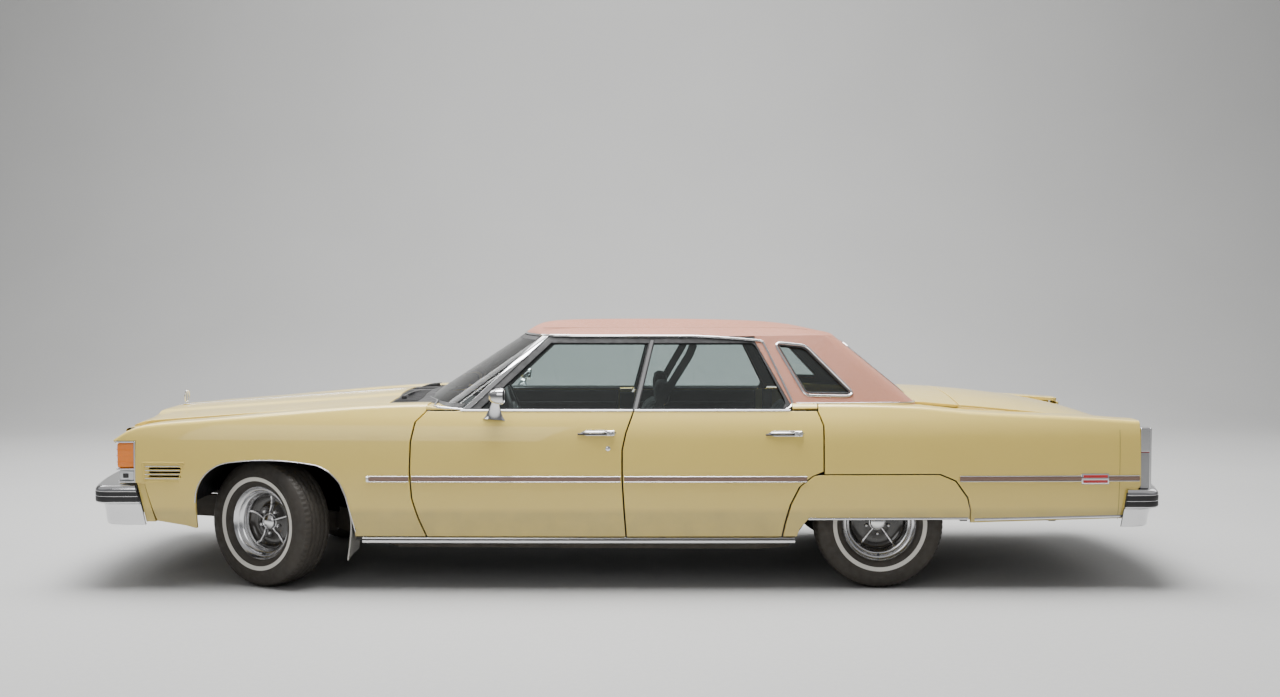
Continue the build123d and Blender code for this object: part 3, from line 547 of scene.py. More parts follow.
look("steel", (0.30, 0.29, 0.28), 0.42, metal=0.85, tint=0.2, fine=0.2, bump=0.1,
     dust_and_shade=(dust_and_shade_tone, 0.5, 0.45))
look("iron", (0.09, 0.10, 0.12), 0.55, metal=0.4, tint=0.2, bump=0.5, bump_scale=90,
     dust_and_shade=(dust_and_shade_tone, 0.4, 0.6))
look("moulding", (0.22, 0.135, 0.10), 0.42, tint=0.06, bump=0.25, bump_scale=500)
look("amber", (0.90, 0.23, 0.008), 0.16, coat=0.5, tint=0.06, bump=0.5, bump_scale=60, pattern="Z")
look("red_lens", (0.42, 0.010, 0.012), 0.12, coat=1.0, tint=0.1, bump=0.5, bump_scale=55, pattern="Z")
look("clear_lens", (0.72, 0.74, 0.75), 0.10, metal=0.55, coat=1.0, tint=0.05, bump=0.6, bump_scale=50,
     pattern="Y")
look("white_lens", (0.78, 0.78, 0.76), 0.15, coat=1.0, tint=0.04, bump=0.5, bump_scale=60, pattern="Z")
look("cloth", (0.060, 0.058, 0.060), 0.85, sheen=0.5, tint=0.15, fine=0.2, fine_scale=300, bump=0.6,
     bump_scale=800)
look("trim", (0.055, 0.053, 0.055), 0.55, tint=0.1, bump=0.4, bump_scale=350, pattern="grain")
look("carpet", (0.045, 0.042, 0.042), 0.95, sheen=0.4, tint=0.2, fine=0.3, fine_scale=400, bump=1.0,
     bump_scale=500)
look("liner", (0.10, 0.098, 0.10), 0.9, sheen=0.3, tint=0.1, bump=0.4, bump_scale=600)
look("flap", (0.50, 0.49, 0.46), 0.6, tint=0.06, fine=0.15, bump=0.15, dust_and_shade=(dust_and_shade_tone, 0.35, 0.4))
look("plate", (0.62, 0.62, 0.60), 0.4, tint=0.04, bump=0.2, bump_scale=60)
look("brown_bar", (0.05, 0.045, 0.04), 0.3, coat=0.4, tint=0.1)
glass_look("window", (0.80, 0.85, 0.845), cloud=0.02)


def set_camera():
    """The photograph's view, looking along -Y."""
    data = bpy.data.cameras.new("camera")
    data.lens = lens_mm
    data.sensor_width = 36.0
    camera = add("camera", data)
    camera.location = camera_place
    camera.rotation_euler = (radians(90 - camera_pitch), 0, radians(180))
    bpy.context.scene.camera = camera


def set_light():
    """A pale studio: bright overhead, dimmer towards the floor, and a wide soft key lamp."""
    world = bpy.data.worlds.new("world")
    bpy.context.scene.world = world
    world.use_nodes = True
    t = world.node_tree
    back = t.nodes["Background"]
    coords, sep, ramp = node(t, "TexCoord"), node(t, "SeparateXYZ"), node(t, "ValToRGB")
    t.links.new(coords.outputs["Generated"], sep.inputs[0])
    t.links.new(sep.outputs["Z"], ramp.inputs[0])
    t.links.new(ramp.outputs[0], back.inputs[0])
    stops = ramp.color_ramp.elements
    stops[0].position, stops[0].color = 0.0, (0.42, 0.43, 0.44, 1)
    stops[1].position, stops[1].color = 0.55, (1.0, 1.0, 1.0, 1)
    for at, tone in ((0.05, 0.42), (0.20, 0.40), (0.30, 0.85)):
        stops.new(at).color = (tone, tone, tone * 1.03, 1)
    back.inputs[1].default_value = 0.44
    lamps = [("top", (0.3, -0.1, 7.5), (0, 0.1, 0.5), 6.0, 2050),
             ("key", (3.5, 11, 4.5), (0, 0, 0.6), 5.0, 170), ("rear", (-7, -5, 5), (0, 0, 0.5), 5.0, 140),
             ("wall", (0, -6, 10), (0, -14, 4.5), 9.0, 1650),
             ("ahead", (5, -4.5, 6.5), (0.8, 0, 1.0), 5.0, 350)]
    for name, place, goal, size, power in lamps:
        data = bpy.data.lights.new(name, "AREA")
        data.size = size
        data.energy = power
        lamp = add(name, data)
        lamp.location = place
        lamp.rotation_euler = (Vector(goal) - Vector(place)).to_track_quat("-Z", "Y").to_euler()
    turn = [math.pi / 2 * k / 16 for k in range(1, 17)]
    sweep = [(30, 0), (-8, 0)] + [(-8 - 6 * sin(a), 6 - 6 * cos(a)) for a in turn] + [(-14, 16)]
    rows = [[(x, y, z) for y, z in sweep] for x in (-40, 40)]
    mesh = bpy.data.meshes.new("floor")
    count = len(sweep)
    mesh.from_pydata(rows[0] + rows[1], [], [(k, k + 1, count + k + 1, count + k) for k in range(count - 1)])
    mesh.polygons.foreach_set("use_smooth", [True] * len(mesh.polygons))
    floor = add("floor", mesh)
    look("floor", (0.40, 0.40, 0.395), 0.85, tint=0.02, tint_scale=0.6, fine=0.03, bump=0.1, bump_scale=60,
         spec=0.2)
    mesh.materials.append(looks["floor"])


set_camera()
set_light()


# Painted panels
arch_low = [(1446, 150), (1446, 313), (1484, 480)]
arch_ring = arch_low[:-1] + arc((1484, 480), (1538, 596), (1642, 668))[:-1]
arch_ring += arc((1642, 668), (1868, 694), (2098, 684), 18)[:-1] + arc((2098, 684), (2242, 612), (2290, 470))
arch_ring += [(2290, 150)]
gill_slots = [[(2362, z), (2540, z), (2536, z + 13), (2370, z + 13)] for z in (604, 625, 646)]
fender_low = [(1452, 288), (1440, 330), (2300, 330), (2350, 344), (2502, 370), (2560, 567), (2610, 575),
              (2610, 798)]
fender_rear = shifted(door_front_edge, dx=8)
fender_top = [(2738, 798), (2738, 1200), (1030, 1200)]
fender_ring = fender_rear[:1] + fender_low + fender_top + fender_rear[::-1][:-1]
skin = facing(grid(shelf_section(front_shelf), spaced(2741, 1027, 26)), (0, 1, 0.3))
skin = trim(skin, inset(fender_ring, hem_round), [inset(arch_ring, -hem_round)]
            + [inset(g, -1.5) for g in gill_slots])
dressed("fender_skin", [(hem(skin, depth=16), "paint")], replaces=["front_fender"])

front_ring = door_front_edge + shifted(door_split_edge, dx=4)[::-1]
rear_ring = shifted(door_split_edge, dx=-4) + door_rear_edge[::-1]
door_inner = 872.0


def door_skin(name, ring, span):
    """A door's outer skin with its shut faces."""
    skin = facing(grid(side_section(), spaced(*span, 24)), (0, 1, 0))
    skin = trim(skin, inset(ring, hem_round))
    skin = hem(skin, to=lambda last, outward: (last.x + (14 if outward.x < -0.3 else 0), door_inner, last.z))
    dressed(name + "_skin", [(skin, "paint")], name, replaces=[name])


door_skin("front_door", front_ring, (1152, -40))
door_skin("rear_door", rear_ring, (30, -1043))

quarter_ring = [(-1047, 640), (-1047, 880), (-1018, 956), (-1030, 1200), (-2731, 1200), (-2731, 560),
                (-2700, 520), (-2660, 384), (-1826, 362), (-1826, 372), (-1826, 430), (-1810, 500),
                (-1745, 590), (-1660, 626), (-1046, 626)]
skin = facing(grid(shelf_section(rear_shelf), spaced(-1014, -2734, 26)), (0, 1, 0.3))
dressed("quarter_skin", [(hem(trim(skin, inset(quarter_ring, hem_round)), depth=16), "paint")],
        replaces=["quarter"])

skirt_ring = shifted(door_rear_edge[:5], dx=-10) + [(-1046, 620), (-1656, 620), (-1740, 584), (-1803, 496),
                                                    (-1820, 430), (-1820, 379), (-958, 379), (-918, 330),
                                                    (-904, 288)]
skin = facing(grid(side_section(top=640), spaced(-826, -1824, 26)), (0, 1, 0))
dressed("skirt_skin", [(hem(trim(skin, inset(skirt_ring, hem_round)), depth=18), "paint")])
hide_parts("fender_skirts")

# Hood: edge height falls forward; the raised centre has a soft shoulder; the front rolls down
hood_profile = [(0, 28), (150, 26.5), (262, 23), (296, 18), (332, 12.5), (520, 8), (700, 2), (742, 0)]


def hood_z(x, y):
    z = 913 + (2280 - x) * 0.0717 + monotone(hood_profile, abs(y))
    ahead = max(0.0, x - 2560) / 124
    return z - 16 * ahead ** 2.2 * min(1.0, max(0.0, (abs(y) - 250) / 200)) - 5 * ahead ** 6


hood_ys = sorted({s * v for v in list(range(0, 250, 28)) + list(range(250, 345, 8))
                  + list(range(350, 738, 28)) + [738] for s in (-1, 1)})
skin = facing(grid(lambda x: [(x, y, hood_z(x, y)) for y in hood_ys], spaced(1300, 2680, 26)), (0, 0, 1))
dressed("hood_skin", [(hem(skin, radius=4, depth=20), "paint")], "hood", sides=False, replaces=["hood"])

# Trunk lid and the deck panel ahead of it: rows of X, height at the middle, height at the edge
lid_rows = [(-2692, 872, 862), (-2549, 916, 896), (-2180, 982, 938), (-1812, 1018, 972), (-1600, 1027, 990)]


deck_half = 720.0


def deck_z(x, y):
    middle = monotone([(a, b) for a, b, c in lid_rows], x)
    edge = monotone([(a, c) for a, b, c in lid_rows], x)
    return edge + (middle - edge) * (1 - (abs(y) / deck_half) ** 2)


def lid_section(y):
    """From the front of the trunk lid back and over its edge, down the rear face."""
    tops = [(x, y, deck_z(x, y)) for x in spaced(-1815, -2660, 24)]
    rim = deck_z(-2680, y)
    corner = [bezier3(tops[-1], (-2699, y, rim - 2), (-2700, y, rim - 40), i / 8) for i in range(1, 9)]
    foot = corner[-1][2]
    return tops + corner + [(-2700, y, foot + (644 - foot) * i / 8) for i in range(1, 9)]


skin = facing(grid(lid_section, spaced(-713, 713, 30)), (0, 0, 1))
dressed("lid_skin", [(hem(skin, depth=18), "paint")], "trunk_lid", sides=False, replaces=["trunk_lid"])
skin = grid(lambda x: [(x, y, deck_z(x, y)) for y in spaced(-720, 720, 30)], spaced(-1801, -1560, 20))
deck_parts = [(hem(facing(skin, (0, 0, 1)), depth=12), "paint")]
dressed("deck_skin", deck_parts, sides=False, replaces=["deck_panel"])


# Wheels and tyres, drawn about their own axle with Y outward and shared by all four
def lathe(profile, count, turn=38):
    """Rows of radius and outward distance turned about Y; bends of more than turn degrees stay sharp."""
    points, normals, faces = [], [], []
    dirs = [Vector((b[0] - a[0], b[1] - a[1])).normalized() for a, b in zip(profile, profile[1:])]
    for k, (a, b) in enumerate(zip(profile, profile[1:])):
        ends = []
        for at, other in ((a, dirs[k - 1] if k else None), (b, dirs[k + 1] if k + 1 < len(dirs) else None)):
            d = dirs[k]
            if other is not None and d.dot(other) > cos(radians(turn)):
                d = (d + other).normalized()
            ends.append((at, (d.y, -d.x)))
        base = len(points)
        for i in range(count):
            c, s = cos(2 * math.pi * i / count), sin(2 * math.pi * i / count)
            for (r, out), (nr, no) in ends:
                points.append((r * c, out, r * s))
                normals.append(Vector((nr * c, no, nr * s)))
        for i in range(count):
            j = (i + 1) % count
            faces.append((base + 2 * i, base + 2 * i + 1, base + 2 * j + 1, base + 2 * j))
    first = Vector(points[faces[0][1]]) - Vector(points[faces[0][0]])
    second = Vector(points[faces[0][2]]) - Vector(points[faces[0][1]])
    if first.cross(second).dot(normals[0]) < 0:
        faces = [f[::-1] for f in faces]
    return points, normals, faces


def stud(rows, count, place, quarters=0, about="Z"):
    """A turned part at a place, its axis swung from Y by quarter turns about another axis."""
    return moved(lathe(rows, count),
                 Matrix.Translation(place) @ Matrix.Rotation(math.pi / 2 * quarters, 4, about))


def outer(rows, count, side=1):
    """A turned surface that faces outward, or inward with side -1."""
    return facing(lathe(rows, count), (0, side, 0))


side_wall = [(197, 80), (203, 91), (214, 99), (229.6, 105.6)]
upper_wall = [(251.4, 109.8), (262, 110.8), (275, 111), (292, 110), (308, 106), (322, 100), (331, 93)]
band = [(229.6, 105.6), (230.2, 107.2), (240, 109.6), (250.8, 110.9), (251.4, 109.8)]
tread_half, tread_depth = 80.0, 7.5
groove_at = (-50, -17, 17, 50)


def tread_section(angle):
    """Across the tread at an angle: crown, zigzag grooves and notched shoulders."""
    step = angle / (2 * math.pi) * 72
    zig = 3.2 * (abs((step % 1) - 0.5) * 4 - 1)
    notch = 3.5 if step % 1 < 0.28 else 0.0

    def crown(a):
        return 345 - 4.5 * (abs(a) / tread_half) ** 2.4
    rows = [(-93, 331.0), (-88, 336.5 - notch), (-tread_half, crown(tread_half) - notch),
            (-70, crown(70) - notch), (-62, crown(62))]
    for g in groove_at:
        rows += [(g + zig - 5, crown(g)), (g + zig - 3.4, crown(g) - tread_depth),
                 (g + zig + 3.4, crown(g) - tread_depth), (g + zig + 5, crown(g))]
    rows += [(62, crown(62)), (70, crown(70) - notch), (tread_half, crown(tread_half) - notch),
             (88, 336.5 - notch), (93, 331.0)]
    return [(r * cos(angle), a, r * sin(angle)) for a, r in rows]


tread = grid(tread_section, [2 * math.pi * i / 288 for i in range(289)])
if Vector(tread[1][60]).dot(Vector(tread[0][60])) < 0:
    tread = flip(*tread)
tyre_parts = [(tread, "tyre"), (outer(side_wall, 120), "tyre"), (outer(upper_wall, 120), "tyre"),
              (outer(band, 144), "whitewall"),
              (outer([(r, -a) for r, a in side_wall + upper_wall], 96, -1), "tyre")]
for r, a in ((268, 111.6), (281, 111.2)):
    tyre_parts.append((outer([(r, a), (r + 1.5, a + 0.8), (r + 3, a)], 120), "tyre"))
tyre_mesh = mesh_of("tyre", tyre_parts)

disc_rows = [(149, 12), (147, 2), (138, -8), (120, -13), (92, -13), (70, -5), (54, 2), (40, 5)]


def disc_height(r):
    return monotone(disc_rows, r)


def rib_section(r):
    """Across one rib of the wheel's centre, at a radius."""
    w = 5.4 + 2.6 * (r - 40) / 108
    base = disc_height(r) - 1
    rise = 10 + 5 * sin(math.pi * min(1, (r - 36) / 112))
    rows = [(-w, 0), (-w * 0.92, rise * 0.6), (-w * 0.7, rise * 0.88), (-w * 0.3, rise), (w * 0.3, rise),
            (w * 0.7, rise * 0.88), (w * 0.92, rise * 0.6), (w, 0)]
    return [(t, base + h, r) for t, h in rows]


nut_skins = [lathe([(10.5, 0), (10.5, 14), (9.3, 16)], 6, turn=1),
             lathe([(9.3, 15.5), (8.6, 20), (6, 23.5), (2.5, 25), (0.01, 25.4)], 20)]
rim_rows = [(196, 78), (200, 84), (205, 88), (208.5, 88.5), (209.5, 86), (209, 84)]
ring_rows = [(197, 79), (192, 72), (186, 65), (181, 62), (177, 61.5), (174, 56), (170, 49), (164, 44),
             (160, 42.5), (157, 36), (154, 27), (152, 20), (149.5, 17), (149, 10)]
cap_rows = [(44, 2), (44, 7), (41.5, 8), (41.5, 17), (40, 22), (36, 27), (34, 27.6), (33, 26.8), (28, 29.5),
            (18, 32.5), (8, 33.8), (0.01, 34)]
back_rows = [(209, 84), (201, 80), (194, 66), (170, 40), (166, 0), (168, -40), (188, -66), (199, -78),
             (204, -84), (206, -82)]
drum_rows = [(150, -18), (150, -84), (142, -90), (70, -92), (60, -96)]
centre = [(outer(disc_rows + [(0.01, 5)], 96), "gloss_black"), (outer(rim_rows, 128), "bright"),
          (outer(ring_rows, 128), "bright"), (outer(cap_rows, 64), "chrome"), (lathe(back_rows, 72), "satin"),
          (lathe(drum_rows, 64), "iron"), (outer([(150, -17), (100, -19), (40, -19)], 64, -1), "black")]
rib = facing(grid(rib_section, spaced(38, 150, 8)), (0, 1, 0))
for i in range(5):
    centre.append((moved(rib, Matrix.Rotation(2 * math.pi * i / 5, 4, "Y")), "chrome"))
    a = 2 * math.pi * (i + 0.5) / 5
    place = Matrix.Translation((63.5 * sin(a), disc_height(63.5) - 2, 63.5 * cos(a)))
    centre += [(moved(s, place), "chrome") for s in nut_skins]
valve = stud([(5, 0), (5, 12), (3.4, 13), (3.4, 26), (0.01, 27)], 12, (0, 45, -168))
wheel_mesh = mesh_of("wheel", centre + [(valve, "rubber")])

steer, axle_z = radians(30), 345
kingpin, half_track, front_axle, rear_axle = 697.0, 812.0, 1873.5, -1352.5
for row in ("front", "rear"):
    for side, sign in (("left", 1), ("right", -1)):
        out = Vector((sign * sin(steer), sign * cos(steer), 0)) if row == "front" else Vector((0, sign, 0))
        if row == "front":
            at = Vector((front_axle, sign * kingpin, axle_z)) + out * (half_track - kingpin)
        else:
            at = Vector((rear_axle, sign * half_track, axle_z))
        up = Vector((0, 0, 1))
        world = Matrix.Translation(at * MM) @ Matrix((out.cross(up), out, up)).transposed().to_4x4()
        for kind, mesh in (("tyre", tyre_mesh), ("wheel", wheel_mesh)):
            obj = add(f"{kind}_dressed_{row}_{side}", mesh)
            obj.matrix_world = world
            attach(obj, f"wheel_{row}_{side}")
            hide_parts(f"{kind}_{row}_{side}")


# Greenhouse: ruled between two plan outlines, with a crowned roof above the drip line
base_plan = (1225, 1010, 872, -200, 936, -1610, 850, -1660)
drip_plan = (600, 452, 655, -300, 696, -1130, 640, -1172)
base_level, drip_level = 940.0, 1345.0
opera_ring = [(-812, 1304), (-972, 1288), (-1208, 1046), (-1192, 1034), (-960, 1040)]
back_ring = [(-640, 1040), (640, 1040), (556, 1296), (-556, 1296)]


def resample(line, count):
    """Evenly spaced points along a line of points."""
    lengths = [0.0]
    for a, b in zip(line, line[1:]):
        lengths.append(lengths[-1] + math.dist(a, b))
    out, k = [], 0
    for i in range(count + 1):
        want = lengths[-1] * i / count
        while k < len(lengths) - 2 and lengths[k + 1] < want:
            k += 1
        t = (want - lengths[k]) / max(lengths[k + 1] - lengths[k], 1e-9)
        out.append(tuple(a + (b - a) * t for a, b in zip(line[k], line[k + 1])))
    return out


def cut_back(line, length):
    """The line without its last bit of a length."""
    line = list(line)
    while len(line) > 2 and math.dist(line[-1], line[-2]) < length:
        length -= math.dist(line[-1], line[-2])
        line.pop()
    a, b = line[-2], line[-1]
    t = 1 - length / math.dist(a, b)
    return line[:-1] + [tuple(p + (q - p) * t for p, q in zip(a, b))]


def plan_half(plan, front_round, rear_round):
    """The left half of a plan outline, from the front centre round to the rear centre."""
    front, fx, fy, mid, half, rx, ry, rear = plan
    a, b = (fx, fy), (rx, ry)
    bow = arc((fx, -fy), (front, 0), a, 160)[80:]
    flank = arc(a, (mid, half), b, 300)
    stern = arc(b, (rear, 0), (rx, -ry), 160)[:81]

    def corner(first, second, radius):
        u = (Vector(first[-1]) - Vector(first[-2])).normalized()
        v = (Vector(second[1]) - Vector(second[0])).normalized()
        length = radius * math.tan(u.angle(v) / 2)
        first = cut_back(first, length)
        second = cut_back(second[::-1], length)[::-1]
        return first, [bezier3(first[-1], at, second[0], i / 20) for i in range(21)], second
    at = a
    bow, turn_one, flank = corner(bow, flank, front_round)
    at = b
    flank, turn_two, stern = corner(flank, stern, rear_round)
    out = []
    for line, count in ((bow, 10), (turn_one, 8), (flank, 44), (turn_two, 8), (stern, 12)):
        out += resample(line, count)[:-1]
    return out + [stern[-1]]


base_half, drip_half = plan_half(base_plan, 150, 120), plan_half(drip_plan, 110, 90)


def house_point(i, z, out=0.0):
    """A point of the greenhouse's side at an outline number and height, moved outward."""
    t = (z - base_level) / (drip_level - base_level)
    p = Vector(base_half[i]).lerp(Vector(drip_half[i]), t)
    if out:
        ahead, behind = max(i - 1, 0), min(i + 1, len(base_half) - 1)
        q = Vector(base_half[behind]).lerp(Vector(drip_half[behind]), t)
        o = Vector(base_half[ahead]).lerp(Vector(drip_half[ahead]), t)
        d = (q - o).normalized()
        p += Vector((-d.y, d.x)) * -out if d.x > 0 else Vector((d.y, -d.x)) * out
    return (p.x, p.y, z)


def flank_point(x, z, out):
    """The point of the greenhouse's left side at X and Z, moved outward."""
    t = (z - base_level) / (drip_level - base_level)
    line = [Vector(a).lerp(Vector(b), t) for a, b in zip(base_half, drip_half)]
    for p, q in zip(line[10:], line[11:]):
        if q.x <= x <= p.x:
            k = (p.x - x) / max(p.x - q.x, 1e-9)
            return (x, p.y + (q.y - p.y) * k + out, z)
    return (x, line[-20].y + out, z)


roof_arcs = [((612, 1350), (560, 1388), (480, 1412)), ((480, 1412), (-130, 1428), (-800, 1405)),
             ((-800, 1405), (-1000, 1380), (-1180, 1346))]
roof_ridge = sorted(p for r in roof_arcs for p in arc(*r, 6)[1:])
cross_circle = circle_through((-696, 1355), (0, 1428), (696, 1355))


def roof_height(x, y):
    ridge = monotone(roof_ridge, x)
    bow = cross_circle[1] + sqrt(max(0, cross_circle[2] ** 2 - y * y))
    low, gap = min(ridge, bow), abs(ridge - bow)
    return low - 5 * math.exp(-gap / 9)


half_count = len(drip_half)
whole = drip_half + [(x, -y) for x, y in drip_half[-2:0:-1]]
roof_centre = Vector((-303, 0))


def roof_ring(r):
    out = []
    for x, y in whole:
        p = roof_centre + (Vector((x, y)) - roof_centre) * r
        z = drip_level + max(0.0, roof_height(p.x, p.y) - drip_level) * (1 - r ** 14) ** 0.5
        out.append((p.x, p.y, z))
    return out


radii = [1.0, 0.998, 0.993, 0.985, 0.972, 0.955, 0.93] + [0.9 - 0.05 * i for i in range(18)] + [0.001]
cap = facing(grid(roof_ring, radii, closed=True), (0, 0, 1))
sail_ring = [(-700, 1400), (-700, 1318), (-880, 985), (-880, 900), (-2000, 900), (-2000, 1400)]
sail_start = 14
levels = [1345.5 - (1345.5 - 984) * i / 22 for i in range(23)]
sail = grid(lambda i: [house_point(int(i), z) for z in levels], range(sail_start, half_count))
sail = facing(sail, (-0.3, 1, 0))
opera_round = rounded(opera_ring, 26, 0.45)
sail = trim(sail, sail_ring, [opera_round])
sail = trim(sail, None, [back_ring], axes=(1, 2))
sail = hem(sail, radius=3, depth=24)
dressed("roof_cover", [(joined(cap, sail, mirrored(sail)), "vinyl")], sides=False, replaces=["roof"])


# Rods, strips and boxes with soft edges
def loop_skin(section, stations):
    """A closed-section skin with its ends capped."""
    p, n, f = grid(section, stations, closed=True)
    m = len(section(stations[0]))
    middle = sum((Vector(q) for q in p[:m]), Vector()) / m
    if (Vector(p[0]) - middle).dot(n[0]) < 0:
        p, n, f = flip(p, n, f)
    for first, sign in ((0, -1), (len(p) - m, 1)):
        base = len(p)
        way = (Vector(section(stations[-1])[0]) - Vector(section(stations[0])[0])) * sign
        p = p + p[first:first + m]
        n = n + [way.normalized() if way.length > 1e-6 else Vector((0, 0, sign))] * m
        face = tuple(range(base, base + m))
        total = Vector()
        for i in range(m):
            total += Vector(p[face[i]]).cross(Vector(p[face[(i + 1) % m]]))
        f = f + [face if total.dot(way) > 0 else face[::-1]]
    return p, n, f


def run(path, shape, up=(0, 0, 1), taper=0):
    """A bar along a path; shape gives the section as (outward, upward) pairs, and up is its upright."""
    pts = [Vector(q) for q in path]
    ways = [(pts[min(i + 1, len(pts) - 1)] - pts[max(i - 1, 0)]).normalized() for i in range(len(pts))]

    def section(i):
        w = ways[i]
        u = Vector(up) if not callable(up) else Vector(up(i))
        out = w.cross(u).normalized()
        u = out.cross(w).normalized()
        k = 1.0
        if taper and i < taper:
            k = 0.12 + 0.88 * sin(math.pi / 2 * i / taper)
        if taper and i > len(pts) - 1 - taper:
            k = 0.12 + 0.88 * sin(math.pi / 2 * (len(pts) - 1 - i) / taper)
        return [tuple(pts[i] + out * a * k + u * b * k) for a, b in shape]
    return loop_skin(section, range(len(pts)))


def oval(a, b, count, power=2.0):
    """A rounded section of given half-sizes; a higher power is squarer."""
    out = []
    for i in range(count):
        t = 2 * math.pi * i / count
        c, s = cos(t), sin(t)
        out.append((a * abs(c) ** (2 / power) * (1 if c >= 0 else -1),
                    b * abs(s) ** (2 / power) * (1 if s >= 0 else -1)))
    return out


def block(x0, x1, y0, y1, z0, z1, radius):
    """A box with rounded edges."""
    cx, cy, cz = (x0 + x1) / 2, (y0 + y1) / 2, (z0 + z1) / 2
    hx, hy, hz = abs(x1 - x0) / 2, abs(y1 - y0) / 2, abs(z1 - z0) / 2
    radius = min(radius, hx, hy, hz)
    turns = [math.pi / 2 * i / 3 for i in range(4)]
    bm = bmesh.new()
    layer = bm.verts.layers.float_vector.new("n")
    for sx, sy, sz in product((-1, 1), repeat=3):
        middle = Vector((cx + sx * (hx - radius), cy + sy * (hy - radius), cz + sz * (hz - radius)))
        for a, b in product(turns, repeat=2):
            d = Vector((cos(a) * cos(b) * sx, sin(a) * cos(b) * sy, sin(b) * sz))
            v = bm.verts.new(middle + d * radius)
            v[layer] = d
    bmesh.ops.remove_doubles(bm, verts=bm.verts, dist=1e-5)
    bmesh.ops.convex_hull(bm, input=bm.verts)
    bmesh.ops.dissolve_limit(bm, angle_limit=0.001, verts=bm.verts, edges=bm.edges)
    return taken(bm, layer)


def blocks(look_name, *rows):
    """Blocks of one look; each row is what block takes."""
    return [(block(*row), look_name) for row in rows]


def side_path(rows, out, step):
    """A path on the body side through X and Z rows, lifted outward."""
    path = []
    for (xa, za), (xb, zb) in zip(rows, rows[1:]):
        for x in spaced(xa, xb, step)[:-1]:
            z = za + (zb - za) * (x - xa) / (xb - xa) if xb != xa else za
            path.append((x, side_y(x, z) + out, z))
        if xa == xb:
            path = path[:-1] + [(xa, side_y(xa, z) + out, z) for z in spaced(za, zb, step)[:-1]]
    x, z = rows[-1]
    return path + [(x, side_y(x, z) + out, z)]


def strip(width, height):
    """A flat-backed bar section that stands out from the panel; outward is the first number."""
    return [(0, -height), (width * 0.6, -height * 0.94), (width * 0.92, -height * 0.7), (width, 0),
            (width * 0.92, height * 0.7), (width * 0.6, height * 0.94), (0, height)]


def on_side(rows, width, height, out=-0.5, taper=0, step=30.0):
    path = side_path(rows, out, step)
    return run(path, [(a if path[-1][0] < path[0][0] else -a, b) for a, b in strip(width, height)],
               taper=taper)


# Side mouldings: a rose insert between bright edges, along fender, doors and quarter
def moulding(xa, xb):
    bars = [(600, 9, 12.5, "moulding"), (614, 10.5, 3.2, "chrome"), (586, 10.5, 3.2, "chrome")]
    return [(on_side([(xa, z), (xb, z)], width, height), look_name) for z, width, height, look_name in bars]


dressed("fender_moulding",
        moulding(1372, 1154) + [(on_side([(1378, 600), (1366, 600)], 10.8, 17, step=3), "chrome")])
dressed("front_door_moulding", moulding(1138, 34), "front_door")
dressed("rear_door_moulding", moulding(14, -952), "rear_door")
dressed("quarter_moulding", moulding(-1762, -2722))

# Rocker moulding under the doors, and the bright sill behind the rear wheel
dressed("rocker_trim", [(on_side([(1415, 262), (-898, 262)], 10, 18, out=-40), "bright"),
                        (on_side([(1415, 264), (-898, 264)], 12.5, 4.5, out=-40), "black")])
dressed("rear_sill_trim", [(on_side([(-1846, 380), (-2656, 396)], 7, 8, out=-2), "bright")])
dressed("skirt_trim", [(on_side([(-962, 386), (-1812, 386)], 8, 7, out=-1), "bright")])

# Bright lip round the front wheel opening
lip_path = [(x, side_y(x, max(z, 262)) - 1.0, z) for x, z in resample(inset(arch_ring, -2.0)[1:-1], 70)]
dressed("arch_lip", [(run(lip_path, oval(3.2, 4.2, 10), up=(0, 1, 0)), "bright")])

# Wheelhouse liner behind the front wheel opening
liner_path = resample(inset(arch_ring, -16)[1:-1], 48)
liner = facing(grid(lambda y: [(x, y, z) for x, z in liner_path], [955, 900, 800, 700, 600, 482]), (0, 0, -1))
liner_back = face_of([(x, 480, z) for x, z in liner_path], (0, 1, 0))
dressed("front_liner", [(liner, "black"), (liner_back, "black")])

# Door handles: a bright paddle in a recess plate, with a lock
handle_rows = {"front_door": (240, 58, 846), "rear_door": (-754, -935, 842)}
for name, (xa, xb, z) in handle_rows.items():
    bar = on_side([(xa, z + 2), (xb + 40, z + 2)], 19, 6.5, out=3, taper=3, step=12)
    plate = on_side([(xa + 6, z - 4), (xb - 4, z - 4)], 4, 17, out=-1, taper=3, step=12)
    y = side_y(xb + 24, z)
    housing = block(xb + 4, xb + 50, y - 6, y + 22, z - 18, z + 13, 8)
    button = stud([(10, 0), (10, 5), (8.5, 7), (0.01, 7.4)], 28, (xb + 24, y + 21, z - 3))
    grip = on_side([(xa + 20, z - 8), (xb + 44, z - 8)], 8, 5, out=3, step=12)
    parts = [(plate, "bright"), (bar, "chrome"), (housing, "chrome"), (button, "satin"),
             (grip, "gloss_black")]
    if name == "front_door":
        lock_rows = [(13, 0), (13, 3), (10, 5), (4, 5.5), (0.01, 5.5)]
        parts.append((stud(lock_rows, 32, (100, side_y(100, 762) - 1, 762)), "chrome"))
    dressed(name + "_handle", parts, name)

# Seam ahead of the quarter's rear end
seam_line = [(-2620 + 8 * k / 20, 856 - 478 * k / 20) for k in range(21)]
end_seam = [(x, side_y(x, z) + 0.4, z) for x, z in seam_line]
dressed("quarter_seam", [(run(end_seam, oval(1.1, 1.1, 6), up=(0, 1, 0)), "seam_dark")])

# Tail side marker: two red bars in a bright frame
marker = [(on_side([(-2410, 597), (-2556, 597)], 11, 30, out=-1, step=18), "chrome")]
marker += [(on_side([(-2418, z), (-2548, z)], 14, 9, out=-1, step=18), "red_lens") for z in (584, 610)]
dressed("rear_marker", marker)

